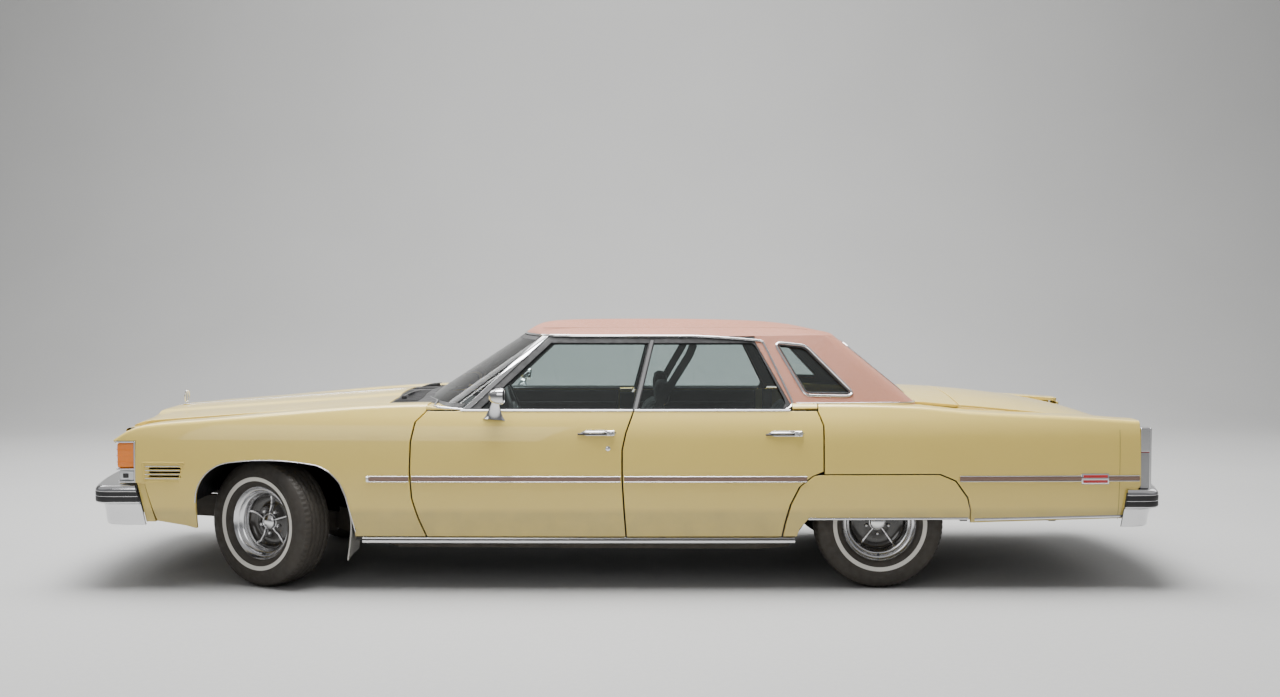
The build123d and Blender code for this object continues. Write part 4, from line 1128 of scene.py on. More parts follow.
# Gill frame and bars on the fender
gill_frame = [(2348, 684), (2572, 684), (2561, 580), (2382, 580), (2348, 684)]
frame_path = []
for (xa, za), (xb, zb) in zip(gill_frame, gill_frame[1:]):
    for k in range(8):
        x, z = xa + (xb - xa) * k / 8, za + (zb - za) * k / 8
        frame_path.append((x, side_y(x, z) - 0.5, z))
gill_parts = [(run(frame_path + frame_path[:1], oval(3.4, 5.0, 10), up=(0, 1, 0)), "paint")]
for z in (599.5, 621, 642, 663.5):
    gill_parts.append((on_side([(2371, z), (2556, z)], 4.5, 2.6, out=-1, step=26), "bright"))
shade = face_of([(2340, 930, 590), (2580, 930, 590), (2580, 930, 676), (2340, 930, 676)], (0, 1, 0))
dressed("gills", gill_parts + [(shade, "black")])

# Mud flap behind the front wheel: a curved sheet with a thick edge along its side and foot
flap_line = [(163, 1488), (250, 1477), (345, 1469), (470, 1490), (560, 1524)]
flap_top, flap_low, flap_in, flap_out = 560, 163, 640, 958


def flap_section(z):
    x, width = monotone(flap_line, z), flap_out - flap_in
    return [(x + 5 * sin(math.pi * (y - flap_in) / width), y, z + 10 * (flap_out - y) / width)
            for y in spaced(flap_in, flap_out, 26)]


flap_front = facing(grid(flap_section, spaced(flap_top, flap_low, 22)), (1, 0, 0))
flap_back = facing(([(x - 6, y, z) for x, y, z in flap_front[0]], flap_front[1], flap_front[2]), (-1, 0, 0))
edge_line = [(monotone(flap_line, z) - 3, flap_out, z) for z in spaced(flap_top, flap_low, 22)]
flap_edge = run(edge_line, oval(4, 3.5, 10), up=(0, 1, 0))
flap_foot = run([(x - 3, y, z) for x, y, z in flap_section(flap_low)], oval(3.5, 4, 10))
dressed("mud_flap", [(flap_front, "flap"), (flap_back, "flap"), (flap_edge, "flap"), (flap_foot, "flap")])


# Greenhouse trims: bright pillar strips, seals, drip moulding, belt line, window frames
def pillar_x(z):
    """The windshield pillar's bright strip, middle line."""
    return 872 - (z - 952) * 1.07


def ahead_of_pillar(behind, low, high):
    """A region that reaches ahead from a line behind the pillar strip's middle."""
    return [(1400, low), (pillar_x(low) + behind, low), (pillar_x(high) + behind, high), (1400, high)]


house_levels = [1347 - (1347 - 950) * i / 30 for i in range(31)]


def house_mix(i, z, out):
    """The greenhouse's side at a fractional outline number."""
    k = min(int(i), len(base_half) - 2)
    a, b = Vector(house_point(k, z, out)), Vector(house_point(k + 1, z, out))
    return tuple(a.lerp(b, i - k))


def flank_skin(out, first, last):
    stations = [first + 0.5 * i for i in range(int((last - first) * 2) + 1)]
    return facing(grid(lambda i: [house_mix(i, z, out) for z in house_levels], stations), (0, 1, 0))


strip_ring = [(pillar_x(z) + shift, z) for shift, z in ((16, 950), (16, 1346), (-16, 1346), (-16, 950))]
strip_skin = hem(trim(flank_skin(4.0, 10, 40), strip_ring), radius=2.5, depth=8)
dressed("pillar_strip", [(strip_skin, "chrome")])

window_inner = [(786, 900), (786, 966), (417, 1310), (-678, 1310), (-700, 1296), (-846, 1012), (-850, 990),
                (-836, 966), (-836, 900)]
seal_outer = [(862, 954), (443, 1346), (-706, 1346), (-740, 1322), (-890, 1016), (-896, 985), (-880, 954)]
seal = hem(trim(flank_skin(-3.0, 12, 62), seal_outer, [window_inner]), radius=2.5, depth=16)
dressed("window_seal", [(seal, "rubber")])

drip_rows = [(x, 1346 if x > -330 else 1346 - 26 * ((-330 - x) / 400) ** 1.5) for x in spaced(-728, 400, 24)]
drip_path = [house_mix(i, 1348, 3.0) for i in spaced(0, 20, 0.5)]
drip_path += [flank_point(x, z, 3.0) for x, z in reversed(drip_rows) if x < drip_path[-1][0] - 10]
rear_edge = [(-742, 1310), (-790, 1208), (-838, 1104), (-878, 1016), (-884, 996), (-878, 978), (-862, 965),
             (-842, 959)]
drip_path += [flank_point(x, z, 3.0) for x, z in rear_edge]


def flank_way(p):
    """Roughly outward from the greenhouse's side at a point."""
    return Vector((0.25, 0.9, 0.35)) if p[0] < 600 else Vector((0.8, 0.45, 0.4))


def stern_way(p):
    """Roughly outward from the greenhouse's rear."""
    return Vector((-0.75, 0, 0.6))


def on_house(path, bar, way=flank_way):
    """A bar along a path on the greenhouse; its section's upright lies in the surface, across the path."""
    def up(i):
        a, b = Vector(path[max(i - 1, 0)]), Vector(path[min(i + 1, len(path) - 1)])
        return (b - a).cross(way(path[i])).normalized()
    return run(path, bar, up=up)


dressed("drip_moulding", [(on_house(drip_path, oval(4.6, 6.4, 12, 2.6)), "chrome")])

# Belt moulding along the doors, and the body's shoulder ahead of and behind the windows
belt_z = 958.0
front_belt = [(x, side_y(x, 955) - 2, belt_z) for x in spaced(884, -30, 24)]
rear_belt = [(x, side_y(x, 955) - 2, belt_z) for x in spaced(-42, -868, 24)]
for name, rows in (("front_door", front_belt), ("rear_door", rear_belt)):
    wiper = [(x, y - 9, z + 3) for x, y, z in rows]
    dressed(name + "_belt",
            [(run(rows, oval(6, 5.4, 12, 2.6)), "chrome"), (run(wiper, oval(5, 7, 10)), "rubber")], name)


def cowl_top(x):
    return 962 + 25 * (max(0.0, x - 880) / 229) ** 1.15


def cowl_side(x):
    y, top = side_y(x, 962) - 1.5, cowl_top(x)
    deep = flank_point(x, top, 0)[1] if x < 1000 else 700
    return [(x, y - 10, 961.5), (x, y - 2, 961.6), (x, y, 962), (x, y - 1, 962 + (top - 962) * 0.5),
            (x, y - 4, top - 1), (x, y - 9, top), (x, (y + deep) / 2, top + 1), (x, deep, top + 1)]


dressed("cowl_side", [(facing(grid(cowl_side, spaced(884, 1068, 16)), (0, 1, 0.5)), "paint")])


def shoulder_section(x):
    rows = [q for q in shelf_section(880.0)(x) if q[2] > 962]
    return [q for i, q in enumerate(rows) if i < 6] + resample(rows[6:], 14)


shoulder = hem(facing(grid(shoulder_section, spaced(-1012, -884, 12)), (0, 1, 0.5)), radius=2, depth=6)
dressed("door_shoulder", [(shoulder, "paint")], "rear_door")

# Rear door glass: its bright leading edge
split_line = [(-44 - 92 * k / 12, 960 + 362 * k / 12) for k in range(13)]
split_path = [flank_point(x, z, -6.0) for x, z in split_line]
edge_bar = [(on_house(split_path, oval(5, 9.5, 12, 3.0)), "chrome"),
            (on_house([(x + 10, y - 3, z) for x, y, z in split_path], oval(4, 6, 10)), "rubber"),
            (on_house([(x - 11, y - 3, z) for x, y, z in split_path], oval(4, 5, 10)), "rubber")]
dressed("glass_edge_strip", edge_bar, "rear_door")


def stern_point(y, z, out):
    """The point of the greenhouse's rear at Y and Z."""
    t = (z - base_level) / (drip_level - base_level)
    line = [Vector(a).lerp(Vector(b), t) for a, b in zip(base_half[58:], drip_half[58:])]
    for p, q in zip(line, line[1:]):
        if q.y <= abs(y) <= p.y:
            k = (p.y - abs(y)) / max(p.y - q.y, 1e-9)
            return (p.x + (q.x - p.x) * k - out, y, z + out * 0.4)
    return (line[-1].x - out, y, z + out * 0.4) if abs(y) < line[-1].y + 1 else (line[0].x - out, y, z)


# Opera window and back window frames
def frame_loop(ring, margin, point, out, count, bar, way):
    """A closed bar round an opening in the greenhouse, drawn in from the opening's outline by a margin."""
    line = inset(ring, margin)
    path = [point(a, b, out) for a, b in resample(line + line[:1], count)[:-1]]
    return on_house(path + path[:2], bar, way)


dressed("opera_frame", [
    (frame_loop(opera_round, -7, flank_point, 2.0, 90, oval(4.4, 7.0, 12, 2.6), flank_way), "chrome"),
    (frame_loop(opera_round, 5, flank_point, -5.0, 90, oval(4, 6, 10), flank_way), "rubber")])
back_round = rounded(back_ring, 40, 0.3)
dressed("back_frame", [
    (frame_loop(back_round, -8, stern_point, 3.0, 130, oval(4.5, 8.0, 12, 2.6), stern_way), "chrome"),
    (frame_loop(back_round, 6, stern_point, -6.0, 130, oval(4, 7, 10), stern_way), "rubber")], sides=False)

# Bright edge round the foot of the roof covering, and its sewn seams
foot_path = [q for q in (house_mix(i, 991, 4.0) for i in spaced(40, len(base_half) - 1.001, 0.5))
             if q[0] < -888]
dressed("cover_foot", [(run(foot_path, oval(3.6, 5.0, 12, 2.6)), "chrome")])


def roof_point(x, y, lift):
    r = min(1, abs(y) / 700.0)
    z = drip_level + max(0.0, roof_height(x, y) - drip_level) * (1 - r ** 14) ** 0.5
    return (x, y, z + lift)


seam_paths = [[roof_point(x, y, -0.4) for x in spaced(470, -1000, 40)] for y in (515, 525)]
dressed("roof_seam", [(run(seam_path, oval(1.6, 1.6, 8)), "seam") for seam_path in seam_paths])

# Windshield: one bowed pane that wraps round to the pillar strips, in a bright header and a dark seal
screen_levels = [1340 - (1340 - 962) * i / 26 for i in range(27)]


def screen_skin(out):
    """The left half of the windshield's surface, moved outward."""
    return facing(grid(lambda i: [house_mix(i, z, out) for z in screen_levels], spaced(0, 34, 0.5)),
                  (1, 0.2, 0))


screen_half = trim(screen_skin(-2.0), ahead_of_pillar(10, 956, 1342))
screen = joined(screen_half, mirrored(screen_half))
dressed("windshield_pane", [(screen, "window")], sides=False, replaces=["windshield"])
seal_band = trim(screen_skin(-0.5), ahead_of_pillar(30, 956, 1342), [ahead_of_pillar(26, 990, 1322)])
dressed("screen_seal", [(seal_band, "black")])
foot = [house_mix(i, 988, 6.0) for i in spaced(0, 8, 0.5)]
for x in [x for x in spaced(1085, 872, 20) if x < foot[-1][0] - 12]:
    foot.append((x, side_y(x, 962) - 8 - 40 * max(0.0, (x - 1000) / 110) ** 2, cowl_top(x) + 1))
dressed("screen_foot", [(run(foot, oval(5, 6.5, 12, 2.6)), "chrome")])

# Headliner and pillar linings
lining_radii = [0.965, 0.94, 0.9, 0.8, 0.7, 0.6, 0.5, 0.4, 0.3, 0.2, 0.1, 0.001]


def lining_ring(r):
    out = []
    for x, y in whole:
        q = roof_centre + (Vector((x, y)) - roof_centre) * r
        z = 1322 + max(0.0, roof_height(q.x, q.y) - 1354) * (1 - r ** 10) ** 0.5
        out.append((q.x, q.y, z))
    return out


lining = facing(grid(lining_ring, lining_radii, closed=True), (0, 0, -1))
dressed("headliner", [(lining, "liner")], sides=False)
inner_sail = grid(lambda i: [house_mix(i, z, -20) for z in levels], spaced(sail_start, half_count - 1.001, 1))
inner_ring = [(-690, 1400), (-690, 1330), (-862, 985), (-862, 900), (-2000, 900), (-2000, 1400)]
inner_sail = trim(facing(inner_sail, (0.3, -1, 0)), inner_ring, [opera_round])
inner_sail = trim(inner_sail, None, [back_ring], axes=(1, 2))
dressed("sail_lining", [(inner_sail, "liner")])
inner_pillar = facing(grid(lambda i: [house_mix(i, z, -22) for z in house_levels], spaced(12, 40, 1)),
                      (0, -1, 0))
inner_ring = [(pillar_x(z) + shift, z) for shift, z in ((22, 950), (22, 1330), (-45, 1330), (-60, 950))]
dressed("pillar_lining", [(trim(inner_pillar, inner_ring), "liner")])


# Cowl: a dark grille below the windshield with two parked wipers
def cowl_row(x, ys, lift=0):
    return [(x, y, hood_z(1300, y * 0.9) - 8 + lift + (1300 - x) * 0.02) for y in ys]


cowl = facing(grid(lambda x: cowl_row(x, spaced(-735, 735, 49)), spaced(1296, 1046, 25)), (0, 0, 1))
dressed("cowl_panel", [(cowl, "black")], sides=False)
slat_rows = [cowl_row(1280 - k * 11, spaced(60, 640, 58), 3) for k in range(12)]
dressed("cowl_slats", [(run(row, oval(3, 2.2, 8)), "black") for row in slat_rows])
wiper_parts = []
for y0, y1 in ((520, 30), (-110, -600)):
    arm_line = []
    for t in (k / 10 for k in range(11)):
        y = y0 + (y1 - y0) * t
        arm_line.append((1234 - 60 * t + 22 * (1 - (abs(y) / 800) ** 2), y, 1006 + 8 * sin(math.pi * t)))
    blade_line = [(x + 10, y, z - 10) for x, y, z in arm_line[3:]]
    pivot = stud([(15, 0), (15, 12), (9, 20), (0.01, 21)], 20, (arm_line[0][0], y0, 990), 1, "X")
    wiper_parts += [(run(arm_line, oval(4, 3, 8)), "gloss_black"), (run(blade_line, oval(3, 8, 8)), "rubber"),
                    (pivot, "black")]
dressed("wipers", wiper_parts, sides=False)


# Bumpers: each wraps round the end of the car; sections are drawn as depth behind the nose line and height
nose = 2951.5
bumper_half, bumper_bow = 984.0, 130.0


def bumper_line(depth, end):
    """A plan line from the end of the side round the corner to the middle."""
    front, half = nose - depth, bumper_half - depth * 0.3
    bow = arc((front - bumper_bow, -half), (front, 0), (front - bumper_bow, half), 120)[60:][::-1]
    side_line = [(end, half), (front - bumper_bow, half)]
    length = 78
    head = cut_back(side_line, length)
    tail = cut_back(bow[::-1], length)[::-1]
    turn = [bezier3(head[-1], (front - bumper_bow, half), tail[0], i / 12) for i in range(13)]
    return resample(head, 8)[:-1] + turn[:-1] + resample(tail, 30)


def bumper_skin(profile, ends, turn):
    """One band of a bumper, across the whole width; ends gives the side's end at a height."""
    lines = [[(x * turn, y, z) for x, y in bumper_line(d, monotone(ends, z))] for d, z in profile]
    half = facing(grid(lambda s: [line[s] for line in lines], range(len(lines[0]))), (turn, 1, 0.4))
    return joined(half, mirrored(half))


def bumper_parts(top, cap, mid, low, foot, ends, turn):
    """Bright cap, two dark rub strips with a bright line between them, and the bright lower face."""
    bands = [([(120, top), (32, top), (22, top - 1.5), (8, top - 9), (1.5, top - 19), (0, cap + 3),
               (0, cap + 1), (4, cap), (9, cap)], "chrome"),
             ([(9, cap), (1.0, cap - 0.5), (-0.5, cap - 3), (-0.5, mid + 5), (1.0, mid + 2.5), (9, mid + 2)],
              "black"),
             ([(9, mid + 2), (0, mid + 2), (-1, mid), (0, mid - 2), (9, mid - 2)], "chrome"),
             ([(9, mid - 2), (1.0, mid - 2.5), (-0.5, mid - 5), (-0.5, low + 3), (1.0, low + 0.5), (9, low)],
              "black"),
             ([(9, low), (1.5, low - 0.5), (0.5, low - 2.5), (2, low - 5), (8, low - 9), (30, low - 13),
               (38, low - 15), (41, low - 19),
               (44, low - 35), (50, (low + foot) / 2), (54, foot + 14), (56, foot + 7), (60, foot + 1.5),
               (68, foot),
               (100, foot)], "chrome"),
             ([(100, foot), (96, (low + foot) / 2), (70, low - 8), (66, cap), (90, top - 12), (120, top)],
              "satin")]
    skins = [(bumper_skin(p, ends, turn), k) for p, k in bands]
    return [(flip(*s) if k == "satin" else s, k) for s, k in skins]


bumper_rows = {"front_bumper": (561, 529, 505, 477, 353, [(353, 2556), (462, 2580), (561, 2609)], 1),
               "rear_bumper": (540, 508, 479, 450, 342, [(342, 2625), (440, 2641), (540, 2657)], -1)}
for name, row in bumper_rows.items():
    dressed(name + "_face", bumper_parts(*row), sides=False, replaces=[name])

# Nose: a painted header whose top rolls over, and four lamps with fluted lenses in bright bezels
header_rows = [(2612, 765), (2668, 764), (2676, 760), (2680, 750), (2680, 612), (2680, 575), (2676, 567),
               (2640, 562)]
header_bands = []
for side in (-1, 1):
    stations = [side * y for y in (322, 460, 600, 740, 856)]
    header_bands.append(facing(grid(lambda y: [(x, y, z) for x, z in header_rows], stations), (1, 0, 0)))
lamp_holes = [[(side * 318, 600), (side * 744, 600), (side * 744, 780), (side * 318, 780)]
              for side in (-1, 1)]
brow_rows = [(2612, 0), (2672, -2), (2686, -8), (2690, -18), (2690, -40)]


def brow(y):
    top = hood_z(2676, min(737, abs(y))) - 6
    return [(x, y, top + dz) for x, dz in brow_rows] + [(2687, y, 790), (2682, y, 764)]


header_bands.append(facing(grid(brow, spaced(-856, 856, 43)), (1, 0, 0.4)))
header_parts = [(trim(band, None, lamp_holes, axes=(1, 2)), "paint") for band in header_bands]
dressed("header_skin", header_parts, sides=False, replaces=["header_panel"])


def frame_run(y0, y1, z0, z1, x, radius, bar, look_name):
    """A rounded rectangular frame square to the car's length, with its look."""
    path = [(x, y, z) for y, z in rounded([(y0, z0), (y1, z0), (y1, z1), (y0, z1)], radius)]
    path += path[:2]
    return run(path, bar, up=(1, 0, 0)), look_name


def lens(y, half_y, z, half_z, x, dome, side_depth):
    """A rounded rectangular lens with a domed face."""
    def ring(r):
        k = min(r, 1.0)
        depth = dome * (1 - k ** 2.2) - (side_depth if r > 1 else 0)
        return [(x + depth, y + a, z + b) for a, b in oval(half_y * k, half_z * k, 40, 6.0)]
    return facing(grid(ring, [1.5] + [1 - k / 9 for k in range(9)] + [0.001], closed=True), (1, 0, 0))


panel = face_of([(2664, 318, 600), (2664, 744, 600), (2664, 744, 780), (2664, 318, 780)], (1, 0, 0))
lamp_parts = [frame_run(318, 744, 600, 780, 2690, 26, oval(9, 13, 14, 3.0), "chrome"),
              frame_run(322, 740, 604, 776, 2672, 22, oval(8, 12, 12, 3.0), "satin"), (panel, "gloss_black")]
for y in (426, 636):
    lamp_parts += [(lens(y, 92, 690, 74, 2678, 16, 14), "clear_lens"),
                   frame_run(y - 97, y + 97, 611, 769, 2680, 24, oval(4, 6, 10), "chrome"),
                   (stud([(34, 0), (30, 10), (16, 22), (0.01, 26)], 28, (2668, y, 690), -1), "chrome")]
dressed("headlamps", lamp_parts)

# Corner lamps: amber above, clear below, in a bright bezel that wraps round the fender's end
bezel = blocks("chrome", (2611, 2716, 879, 952, 786, 797, 4), (2611, 2714, 879, 952, 640.5, 651.5, 4),
               (2611, 2708, 879, 952, 573, 584, 4), (2700, 2718, 879, 890, 576, 796, 4),
               (2611, 2622, 879, 953, 576, 796, 4))
bezel += blocks("amber", (2616, 2713, 884, 946, 652, 786, 14))
bezel += blocks("clear_lens", (2616, 2705, 884, 946, 584, 640, 14))
bezel += blocks("amber", *[(2616, 2714.5, 882, 947.5, z - 1.6, z + 1.6, 1.5) for z in (684, 718, 752)])
bezel += blocks("gloss_black", (2650, 2680, 944, 949, 600, 624, 3))
dressed("corner_lamps", bezel)
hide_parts("front_lamps")


# Grille: a bright shell with a sloping brow, upright bars, and a dark plate with cross bars behind them
def slab(ring, y0, y1, edge=3.0):
    """A plate with the given X and Z outline between two Y places, its rims softened."""
    thin = inset(ring, edge)
    ring = ring if area(ring) > 0 else ring[::-1]
    steps = {y0: thin, y0 + edge: ring, y1 - edge: ring, y1: thin}
    return loop_skin(lambda y: [(x, y, z) for x, z in steps[y]], sorted(steps))


shell_out = [(2640, 505), (2755.5, 505), (2755.5, 838), (2697, 876), (2640, 876)]
brow_ring = [(2640, 858), (2697, 858), (2750, 820), (2755.5, 824), (2755.5, 836), (2750, 842), (2697, 877),
             (2640, 877)]
sill_ring = [(2640, 505), (2750, 505), (2755.5, 509), (2755.5, 519), (2750, 523), (2640, 523)]
bar_ring = [(2664, 524), (2742, 524), (2748, 530), (2748, 812), (2744, 820), (2697, 834), (2664, 834)]
slabs = [slab(shell_out, -300, -283), slab(shell_out, 283, 300), slab(brow_ring, -286, 286, 1.0),
         slab(sill_ring, -286, 286, 1.0)]
slabs += [slab(bar_ring, y - 3, y + 3, 1.6) for y in ((i - 10.5) * 24.0 for i in range(22))]
grille_parts = [(part, "chrome") for part in slabs]
grille_parts += blocks("satin", *[(2672, 2700, -282, 282, z - 2, z + 2, 1.8) for z in (600, 680, 760)])
plate_behind = face_of([(2662, -282, 522), (2662, 282, 522), (2662, 282, 836), (2662, -282, 836)], (1, 0, 0))
dressed("grille_face", grille_parts + [(plate_behind, "gloss_black")], sides=False, replaces=["grille"])


# Painted fillers close the gap between the nose and the bumper
def filler(y0, y1, x, z, top=556, turn=1):
    """A sheet from the body's lower edge at X and Z out to the bumper's back."""
    def section(y):
        back = nose - bumper_bow * (y / bumper_half) ** 2
        rows = [(x, z), (x + 12, z + 1), (back - 119.5, top), (back - 113.5, top - 8)]
        return [(turn * a, y, b) for a, b in rows]
    return facing(grid(section, spaced(y0, y1, 30)), (0, 0, 1))


filler_parts = [(filler(-302, 302, 2752, 520), "paint"), (filler(302, 874, 2662, 564), "paint"),
                (filler(-874, -302, 2662, 564), "paint")]
dressed("nose_filler", filler_parts, sides=False)
dressed("tail_filler", [(filler(-870, 870, 2738, 546, 535, -1), "paint")], sides=False)

# Stand-up hood ornament: a plain open blade on a small foot
orn_x = 2613.0
orn_z = hood_z(orn_x, 0)
blade = [(orn_x + 8 * cos(t) - 2 * sin(t), 17 * cos(t), orn_z + 50 + 34 * sin(t))
         for t in (2 * math.pi * k / 28 for k in range(30))]
ornament = [(run(blade, oval(2.6, 3.2, 8), up=(1, 0, 0)), "chrome")]
ornament += blocks("chrome", (orn_x - 20, orn_x + 22, -7, 7, orn_z - 1, orn_z + 7, 3.4),
                   (orn_x - 3, orn_x + 3, -3, 3, orn_z + 4, orn_z + 80, 2.6))
dressed("hood_ornament", ornament, "hood", sides=False)
centre_line = [(x, 0, hood_z(x, 0) + 1.5) for x in spaced(2672, 1310, 40)]
dressed("hood_strip", [(run(centre_line, oval(5, 2.6, 10), taper=2), "chrome")], "hood", sides=False)

# Tail: upright lamps in bright bezels, and a panel with a bright lower rail round the plate recess
lamp_z0, lamp_z1 = 541, 867
tail_parts = blocks("red_lens", (-2786, -2734, 886, 940, lamp_z0 + 6, lamp_z1 - 8, 9))
tail_parts += blocks("chrome", (-2789, -2732, 881, 943, lamp_z1 - 14, lamp_z1 - 0.5, 6),
                     (-2789, -2732, 881, 943, lamp_z0, lamp_z0 + 12, 5),
                     (-2789, -2776, 880, 888, lamp_z0, lamp_z1 - 2, 3.5),
                     (-2790, -2778, 936, 945, lamp_z0, lamp_z1 - 2, 4),
                     (-2778, -2732, 939, 945, 738, lamp_z1 - 6, 2.6))
tail_parts += blocks("satin", (-2778, -2732, 939, 944.5, lamp_z0 + 2, 734, 2.4))
tail_parts += blocks("white_lens", (-2790.5, -2784, 886, 938, 690, 740, 3))
tail_parts += blocks("chrome", *[(-2788.5, -2780, 888, 938, z - 2, z + 2, 1.8) for z in (590, 640, 780, 822)])
dressed("tail_lamp", tail_parts)
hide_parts("tail_lamps")
tail_face = blocks("paint", (-2716, -2703, -719, 719, 541, 631, 4))
for side in (-1, 1):
    tail_face += blocks("paint", (-2745, -2732, side * 727, side * 879, 541, 879, 5))
    tail_face += blocks("chrome", (-2749, -2744, side * 735, side * 872, 640, 648, 2.2))
tail_face += blocks("paint", (-2745, -2704, -739, 739, 541, 599, 5))
tail_face += blocks("chrome", (-2749, -2743, -700, 700, 586, 596, 2.8))
tail_face += blocks("satin", (-2752, -2744.5, -156, 156, 548, 586, 3))
for y in (-88.9, 88.9):
    tail_face.append((stud([(7, 0), (7, 3), (4, 5), (0.01, 5.2)], 16, (-2752, y, 574), 1), "steel"))
dressed("tail_face", tail_face, sides=False, replaces=["tail_panel"])
gutter_ring = [(-2742, 545), (-1803, 600), (-1803, 962), (-2180, 928), (-2549, 886), (-2700, 852),
               (-2742, 846)]
dressed("lid_gutter", [(slab(gutter_ring, 721.5, 725.5, 1.0), "paint")])
lid_trim = [(run([(-2702, y, 650) for y in spaced(-700, 700, 50)], oval(4, 6, 10), up=(0, 0, 1)), "chrome"),
            (block(-2712, -2700, -26, 26, 700, 730, 4), "chrome")]
dressed("lid_trim", lid_trim, "trunk_lid", sides=False)


# Door mirrors: a bright rounded shell on a swept foot, with its glass facing back
head_y, head_z = 1018, 1040


def mirror_ring(t):
    """The head's outline at a share of its depth, front to back."""
    k = 0.12 + 0.88 * (1 - (1 - t) ** 2.6) ** 0.5
    return [(728 - 78 * t, head_y + a * k, head_z + b * k) for a, b in oval(63, 43, 36, 3.2)]


head = facing(grid(mirror_ring, [0.0, 0.03, 0.08, 0.16, 0.28, 0.45, 0.65, 0.85, 0.97, 1.0], closed=True),
              (1, 0, 0))
front_cap = face_of(mirror_ring(0.0), (1, 0, 0))
mirror_glass = face_of([(651.0, head_y + a, head_z + b) for a, b in oval(57, 37, 36, 3.2)], (-1, 0, 0))


def mirror_foot(t):
    cx, cy, cz = bezier3((702, side_y(702, 918) + 2, 912), (704, 952, 975), (690, 988, 1022), t)
    a, b = 62 - 46 * t ** 0.55, 9 + 5 * sin(math.pi * t)
    return [(cx + p, cy + q, cz + 6 * (1 - t) * p / 62) for p, q in oval(a, b, 28, 2.2)]


foot_skin = facing(grid(mirror_foot, [k / 12 for k in range(13)], closed=True), (0, 1, 0))
mirror_frame = frame_run(head_y - 57, head_y + 57, head_z - 37, head_z + 37, 650.5, 24, oval(2.6, 4, 8),
                         "chrome")
dressed("door_mirror", [(head, "chrome"), (front_cap, "chrome"), (mirror_glass, "plate"), mirror_frame,
                        (foot_skin, "chrome")], "front_door", replaces=["mirror"])


# Seats: each cushion and back is a crowned form with sewn channels, swollen by the cloth solver
cloth_frames = 20


def cushion(name, x0, x1, y0, y1, z0, z1, channels, slope=0.0, swell=22.0, voxel=0.006, lean=0.0, power=5.0):
    """A padded form between corners; slope lifts its front, lean tips it back, channels are sewn lines."""
    cx, cy, cz = (x0 + x1) / 2, (y0 + y1) / 2, (z0 + z1) / 2
    hx, hy, hz = (x1 - x0) / 2, (y1 - y0) / 2, (z1 - z0) / 2
    bm = bmesh.new()
    bmesh.ops.create_cube(bm, size=2.0)
    bmesh.ops.subdivide_edges(bm, edges=bm.edges, cuts=11, use_grid_fill=True)
    for v in bm.verts:
        x, y, z = v.co
        k = (abs(x) ** power + abs(y) ** power + abs(z) ** power) ** (1 / power)
        x, y, z = Vector((x / k, y / k, z / k))
        crown = 1 + 0.06 * (1 - y * y)
        px = cx + x * hx
        pz = cz + z * hz * crown + slope * x * hx
        px -= lean * (pz - cz)
        v.co = Vector((px, cy + y * hy, pz)) * MM
    mesh = bpy.data.meshes.new(name)
    bm.to_mesh(mesh)
    bm.free()
    mesh.materials.append(looks["cloth"])
    obj = add(name, mesh)
    swell_up(obj, swell, voxel)
    sew(obj, channels, lean, cz)
    mesh = obj.data
    mesh.polygons.foreach_set("use_smooth", [True] * len(mesh.polygons))
    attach(obj, "root")
    return obj


def swell_up(obj, cap, voxel):
    """Voxel remesh, a pressurised cloth run with a cap on how far a point may move, then one subdivision."""
    for o in bpy.context.selected_objects:
        o.select_set(False)
    bpy.context.view_layer.objects.active = obj
    obj.select_set(True)
    remesh = obj.modifiers.new("remesh", "REMESH")
    remesh.mode = "VOXEL"
    remesh.voxel_size = voxel * 3
    bpy.ops.object.modifier_apply(modifier=remesh.name)
    before = [v.co.copy() for v in obj.data.vertices]
    cloth = obj.modifiers.new("cloth", "CLOTH")
    cloth.settings.use_pressure = True
    cloth.settings.uniform_pressure_force = 4.0
    cloth.settings.effector_weights.gravity = 0.0
    cloth.settings.quality = 5
    scene = bpy.context.scene
    for f in range(1, cloth_frames + 1):
        scene.frame_set(f)
    bpy.ops.object.modifier_apply(modifier=cloth.name)
    for v, old in zip(obj.data.vertices, before):
        move = v.co - old
        if move.length > cap * MM:
            v.co = old + move.normalized() * (cap * MM)
    scene.frame_set(1)
    fine = obj.modifiers.new("fine", "SUBSURF")
    fine.levels = 1
    bpy.ops.object.modifier_apply(modifier=fine.name)


def sew(obj, channels, lean, cz):
    """Presses sewn lines into the surface: each is an axis, a place and a depth, in millimetres."""
    for v in obj.data.vertices:
        p = v.co / MM
        sink = 0.0
        for axis, place, depth in channels:
            q = p.x + lean * (p.z - cz) if axis == "X" else p.y if axis == "Y" else p.z
            sink = max(sink, depth * math.exp(-((q - place) / 7.0) ** 2))
        if sink:
            v.co = (p - v.normal * sink) * MM


def twin(obj, name):
    """The mirror image of a pad, on the right-hand side."""
    mesh = obj.data.copy()
    mesh.name = name
    for v in mesh.vertices:
        v.co.y = -v.co.y
    mesh.flip_normals()
    copy = add(name, mesh)
    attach(copy, "root")
    return copy


